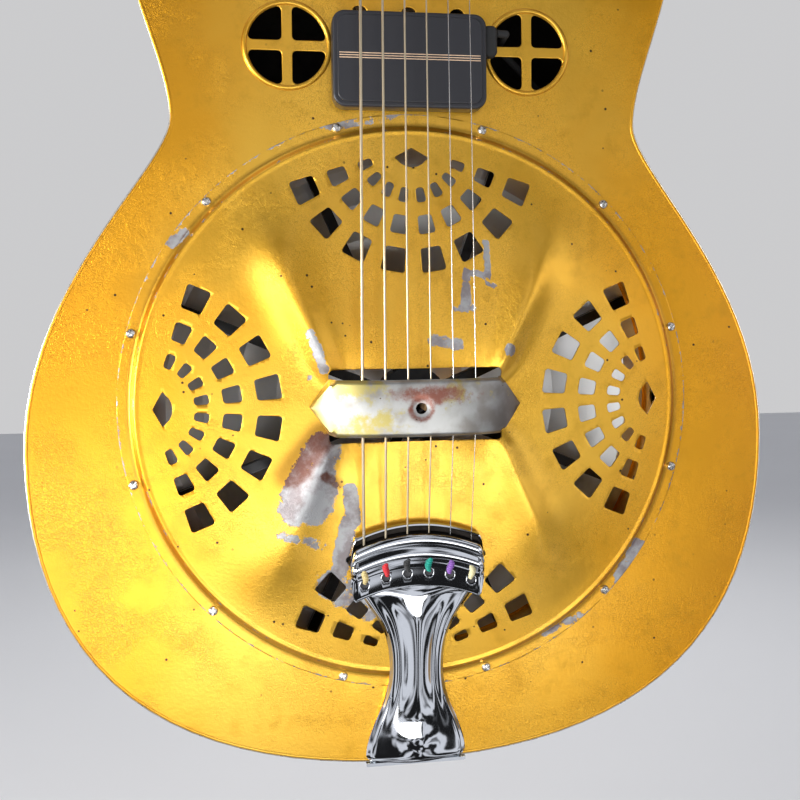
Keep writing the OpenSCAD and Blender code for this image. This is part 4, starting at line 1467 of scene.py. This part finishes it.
@dataclass
class Pickup(Assembly):
    """Flat black pickup with inlaid stripes, its boot, lead and jack.

    Attributes:
        corner: Radius of the case's corners.
        lip: Width of the step round the raised face.
    """

    corner: float = 6.0
    lip: float = 1.3

    def build(self) -> None:
        """Makes the case and dresses the lead and the jack."""
        low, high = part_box("pickup_case")
        u0, u1, v0, v1 = low.x / MM, high.x / MM, low.z / MM, high.z / MM
        w0, w1 = -high.y / MM, -low.y / MM
        box = [(u0, v0), (u1, v0), (u1, v1), (u0, v1)]
        case = plate("pickup_shell", [rounded(box, self.corner, 8)], w0, w1 - 0.8, 1.2, 4)
        self.fit(case, Finish.BLACK, Slot.PLASTIC, ["pickup_case"])
        d = self.lip + 1.0
        face = [(u0 + d, v0 + d), (u1 - d, v0 + d), (u1 - d, v1 - d), (u0 + d, v1 - d)]
        self.fit(plate("pickup_face", [rounded(face, self.corner - 1.5, 8)], w1 - 2.0, w1, 0.5, 3),
                 Finish.BLACK, Slot.PLASTIC)
        middle = (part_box("pickup_stripes")[0].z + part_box("pickup_stripes")[1].z) / 2 / MM
        lines = []
        for k in (-1, 0, 1):
            v = middle + 1.15 * k
            bar = [(u0 + 3.2, v - 0.2), (u1 - 3.2, v - 0.2), (u1 - 3.2, v + 0.2), (u0 + 3.2, v + 0.2)]
            lines.append(plate(f"stripe_{k + 2}", [bar], w1 - 0.1, w1 + 0.08, 0.05, 1))
        stripes = merge("stripes", lines)
        self.fit(stripes, Finish.STRIPE, Slot.STRIPE, ["pickup_stripes"])
        low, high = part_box("pickup_boot")
        a, b, c, d = low.x / MM - 1.0, high.x / MM, low.z / MM, high.z / MM
        boot = plate("lead_boot", [rounded([(a, c), (b, c), (b, d), (a, d)], 2.6, 6)],
                     -high.y / MM, -low.y / MM, 1.6, 5)
        self.fit(boot, Finish.RUBBER, Slot.PLASTIC, ["pickup_boot"])
        self.dress(Finish.RUBBER, "pickup_lead")
        self.dress(Finish.NICKEL, "output_jack", "jack_nut", edge=0.25)


# ---------------------------------------------------------------- neck and tuners


@dataclass
class Neck(Assembly):
    """Square neck with a slotted, tilted headstock.

    Attributes:
        nut_v: Height of the nut's face.
        nut_half: Half width at the nut.
        joint_half: Half width at the body.
        deep: Depth of the neck below the top plate's face.
        tilt: Backward tilt of the headstock in degrees.
        head_t: Headstock thickness.
        head_half: Headstock half width.
        slot: Sideways place, lower and upper centre and end radius of the string slots.
    """

    nut_v: float = 813.0
    nut_half: float = 25.4
    joint_half: float = 27.7
    deep: float = 30.0
    tilt: float = 13.0
    head_t: float = 18.0
    head_half: float = 36.0
    slot: tuple[float, float, float, float] = (18.0, 36.0, 140.0, 8.0)

    def section(self, v: float, half: float, bottom: float, radius: float) -> list[Vector]:
        """A neck section: flat on top, square with rounded arrises below."""
        top = LAYOUT.top_w
        corners = arc((half - radius, bottom + radius), radius, 0, -90, 6)
        right = [(half, top - 0.01)] + corners
        left = [(-u, w) for u, w in reversed(right)]
        return [at(u, v, w) for u, w in right + left]

    def build(self) -> None:
        """Makes the neck and dresses what is on it."""
        top = LAYOUT.top_w
        rings = []
        stations = [(495.3, -34.0, 5.0), (500.0, -34.0, 5.0), (503.0, -29.0, 6.0), (508.0, -17.0, 7.0),
                    (516.0, -4.5, 8.0), (528.0, 5.5, 8.0), (543.0, 10.9, 7.0), (560.0, top - self.deep, 6.0)]
        stations += [(560.0 + 23.6 * k, top - self.deep, 6.0) for k in range(1, 11)]
        stations += [(803.0, 14.0, 6.0), (810.0, 17.2, 5.0), (818.0, 21.5, 4.0)]
        for v, bottom, radius in stations:
            half = self.joint_half + (self.nut_half - self.joint_half) * (v - 495.3) / (self.nut_v - 495.3)
            rings.append(self.section(v, half, bottom, radius))
        shaft = loft("neck_shaft", rings)
        crisp(shaft.data, 30)
        self.fit(shaft, Finish.NECK, Slot.NECK, ["neck"])
        self.fit(self.headstock(), Finish.NECK, Slot.NECK)
        self.dress(Finish.EBONY, "fretboard", edge=0.4)
        self.dress(Finish.CREAM, "fret_markers")
        self.dress(Finish.NICKEL, "frets", "nut", edge=0.2)

    def headstock(self) -> bpy.types.Object:
        """The headstock: crowned top edge, two string slots, tilted back."""
        half, nut = self.head_half, self.nut_half
        right = [(nut, -1.0), (nut, 5.0)]
        shoulder = ((nut, 5.0), (nut + 1, 11.0), (half, 12.0), (half, 23.0))
        corner = ((half, 150.0), (half, 166.0), (30.0, 171.0), (20.0, 173.0))
        crown = ((20.0, 173.0), (14.0, 173.5), (10.0, 169.5), (6.0, 174.0))
        right += [bezier(shoulder, k / 8) for k in range(1, 9)]
        right += [bezier(corner, k / 8) for k in range(9)]
        right += [bezier(crown, k / 6) for k in range(1, 7)]
        loop = right + [(-u, s) for u, s in reversed(right)]
        aside, low, high, radius = self.slot
        slots = [
            arc((side * aside, low), radius, 180, 360, 16) + arc((side * aside, high), radius, 0, 180, 16)
            for side in (-1, 1)
        ]
        head = plate("headstock", [loop] + slots, -self.head_t, 0.0, 1.0, 3)
        head.data.transform(
            Matrix.Translation(at(0, self.nut_v + 5.0, LAYOUT.top_w))
            @ Matrix.Rotation(-math.radians(self.tilt), 4, "X")
        )
        return head


@dataclass
class Tuners(Assembly):
    """Open geared tuners, three on a plate."""

    def build(self) -> None:
        """Dresses the tuners and makes the six buttons."""
        self.dress(Finish.NICKEL, "tuner_plate_bass", "tuner_plate_treble", "tuner_plate_screws", edge=0.15)
        for number in range(1, 7):
            self.dress(Finish.NICKEL, f"worm_{number}")
            self.dress(Finish.BRASS, f"gear_{number}")
            self.dress(Finish.CREAM, f"roller_{number}", edge=0.3)
            self.button(number)

    def button(self, number: int) -> None:
        """An oval button pinched towards its neck, on the key's shaft."""
        low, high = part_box(f"button_{number}")
        middle = (low + high) / 2
        joint = next(j for j in frame["joints"] if j["name"] == f"key_{number}_turn")
        axis = -Vector(joint["axis"]).normalized()
        pivot = Vector(joint["pos_m"])
        start = pivot + axis * (middle - pivot).dot(axis)
        side = Vector((1, 0, 0))
        flat = axis.cross(side).normalized()
        rings = []
        stations = [(-7.2, 1.9, 1.9), (-5.6, 2.5, 2.2), (-4.6, 5.0, 2.7), (-3.2, 7.6, 3.0), (-1.0, 8.9, 3.3),
                    (1.2, 9.15, 3.35), (3.2, 8.3, 3.1), (4.8, 6.4, 2.6), (5.7, 4.2, 1.8), (6.1, 1.8, 0.9)]
        for along, wide, thick in stations:
            rings.append([
                start + (axis * along + side * wide * math.cos(a) + flat * thick * math.sin(a)) * MM
                for a in (2 * math.pi * k / 28 for k in range(28))
            ])
        bean = loft(f"tuner_button_{number}", rings)
        smoother = bean.modifiers.new("round", "SUBSURF")
        smoother.levels = 1
        smoother.render_levels = 1
        settle(bean, 60)
        self.fit(bean, Finish.CREAM, Slot.CREAM, [f"button_{number}"], f"key_{number}")


# ---------------------------------------------------------------- stage


@dataclass
class Stage:
    """Pale floor, soft lights and the camera.

    Attributes:
        eye: Camera place, relative to the coverplate's centre on the top plate, in millimetres.
        look: Viewing direction in u, v, w.
        up: Upward direction in u, v, w.
        lens: Focal length for a 36 mm sensor.
        shift: Sideways and upward lens shift.
        room: Brightness of the room's light.
        patches: Size of the room's light and dark patches, as cells per turn of the head.
        dusk: Share of the room's brightness in its dark patches.
        glare: Share of the room's brightness in its light patches.
        drop: Distance from the guitar's foot down to the floor, in metres.
        floor_half: Half width of the floor, in metres.
    """

    eye: tuple[float, float, float] = (-68.9, 46.4, 472.3)
    look: tuple[float, float, float] = (0.1486, -0.0325, -0.9884)
    up: tuple[float, float, float] = (0.0144, 0.9994, -0.0307)
    lens: float = 43.63
    shift: tuple[float, float] = (-0.02, -0.075)
    room: float = 0.42
    patches: float = 3.4
    dusk: float = 0.04
    glare: float = 2.3
    drop: float = 0.3
    floor_half: float = 4.0

    def build(self) -> None:
        """Sets the stage."""
        self.camera()
        self.floor()
        self.sky()
        target = at(0, LAYOUT.centre_v, LAYOUT.top_w)
        self.light("key_light", target, Vector((-0.95, -0.95, 0.02)), (0.8, 0.5), 5.5)
        self.light("strip_light", target, Vector((-1.0, -0.42, -0.04)), (0.12, 0.3), 10.0)
        self.light("low_light", target, Vector((-0.2, -1.05, -0.34)), (1.3, 0.34), 5.0)
        self.light("fill_light", target, Vector((1.0, -1.0, 0.2)), (0.8, 0.6), 1.0)
        self.light("rear_light", target, Vector((0.3, 1.4, 0.9)), (1.2, 1.2), 10.0)

    def sky(self) -> None:
        """A pale backdrop around a dimmer, patchy room that the chrome mirrors."""
        world = bpy.data.worlds.new("studio")
        world.use_nodes = True
        nodes, links = world.node_tree.nodes, world.node_tree.links
        room = nodes["Background"]
        room.inputs["Color"].default_value = (0.9, 0.92, 1.0, 1.0)
        panels = nodes.new("ShaderNodeTexNoise")
        panels.inputs["Scale"].default_value = self.patches
        panels.inputs["Detail"].default_value = 1.0
        panels.inputs["Distortion"].default_value = 0.6
        levels = nodes.new("ShaderNodeMapRange")
        levels.inputs["From Min"].default_value = 0.47
        levels.inputs["From Max"].default_value = 0.57
        levels.inputs["To Min"].default_value = self.dusk * self.room
        levels.inputs["To Max"].default_value = self.glare * self.room
        links.new(nodes.new("ShaderNodeTexCoord").outputs["Generated"], panels.inputs["Vector"])
        links.new(panels.outputs["Fac"], levels.inputs["Value"])
        links.new(levels.outputs["Result"], room.inputs["Strength"])
        pale = nodes.new("ShaderNodeBackground")
        pale.inputs["Color"].default_value = (0.6, 0.6, 0.61, 1.0)
        seen = nodes.new("ShaderNodeLightPath").outputs["Is Camera Ray"]
        mix = nodes.new("ShaderNodeMixShader")
        links.new(seen, mix.inputs[0])
        links.new(room.outputs[0], mix.inputs[1])
        links.new(pale.outputs[0], mix.inputs[2])
        links.new(mix.outputs[0], nodes["World Output"].inputs["Surface"])
        bpy.context.scene.world = world
        bpy.context.scene.view_settings.view_transform = "Standard"

    def camera(self) -> None:
        """Places the camera."""
        look, up = (Vector((d[0], -d[2], d[1])).normalized() for d in (self.look, self.up))
        side = look.cross(up).normalized()
        up = side.cross(look)
        data = bpy.data.cameras.new("camera")
        data.lens = self.lens
        data.shift_x, data.shift_y = self.shift
        data.clip_start = 0.01
        eye = bpy.data.objects.new("camera", data)
        spot = at(self.eye[0], self.eye[1] + LAYOUT.centre_v, self.eye[2] + LAYOUT.top_w)
        eye.matrix_world = Matrix.Translation(spot) @ Matrix((side, up, -look)).transposed().to_4x4()
        bpy.context.scene.collection.objects.link(eye)
        bpy.context.scene.camera = eye

    def floor(self) -> None:
        """A wide pale floor well below the hanging guitar, left out of mirror reflections."""
        level = CAD_BOX[0][2] - self.drop
        half = self.floor_half
        signs = ((-1, -1), (1, -1), (1, 1), (-1, 1))
        corners = [Vector((half * x, half * y, level)) for x, y in signs]
        floor = piece_from("floor", corners, [(0, 1, 2, 3)])
        g = Graph("pale_floor")
        g.set(Base_Color=g.blend(g.noise(3.0), (0.8, 0.8, 0.8), (0.84, 0.84, 0.84)), Roughness=0.75)
        floor.data.materials.append(g.material)
        floor.visible_glossy = False

    def light(self, name: str, target: Vector, offset: Vector, size: Point, power: float) -> None:
        """A soft oblong light that faces the target."""
        data = bpy.data.lights.new(name, "AREA")
        data.shape = "RECTANGLE"
        data.size, data.size_y = size
        data.energy = power
        lamp = bpy.data.objects.new(name, data)
        lamp.location = target + offset
        lamp.rotation_euler = (-offset).to_track_quat("-Z", "Y").to_euler()
        bpy.context.scene.collection.objects.link(lamp)


def main() -> None:
    """Builds the guitar's sub-assemblies in order."""
    logging.basicConfig(level=logging.INFO, format="%(name)s %(message)s")
    for part in (Stage(), BodyShell(), Coverplate(), Resonator(), Tailpiece(), Strings(), Pickup(), Neck(),
                 Tuners()):
        part.build()
        LOG.info("built %s", type(part).__name__)


if __name__ == "__main__":
    main()
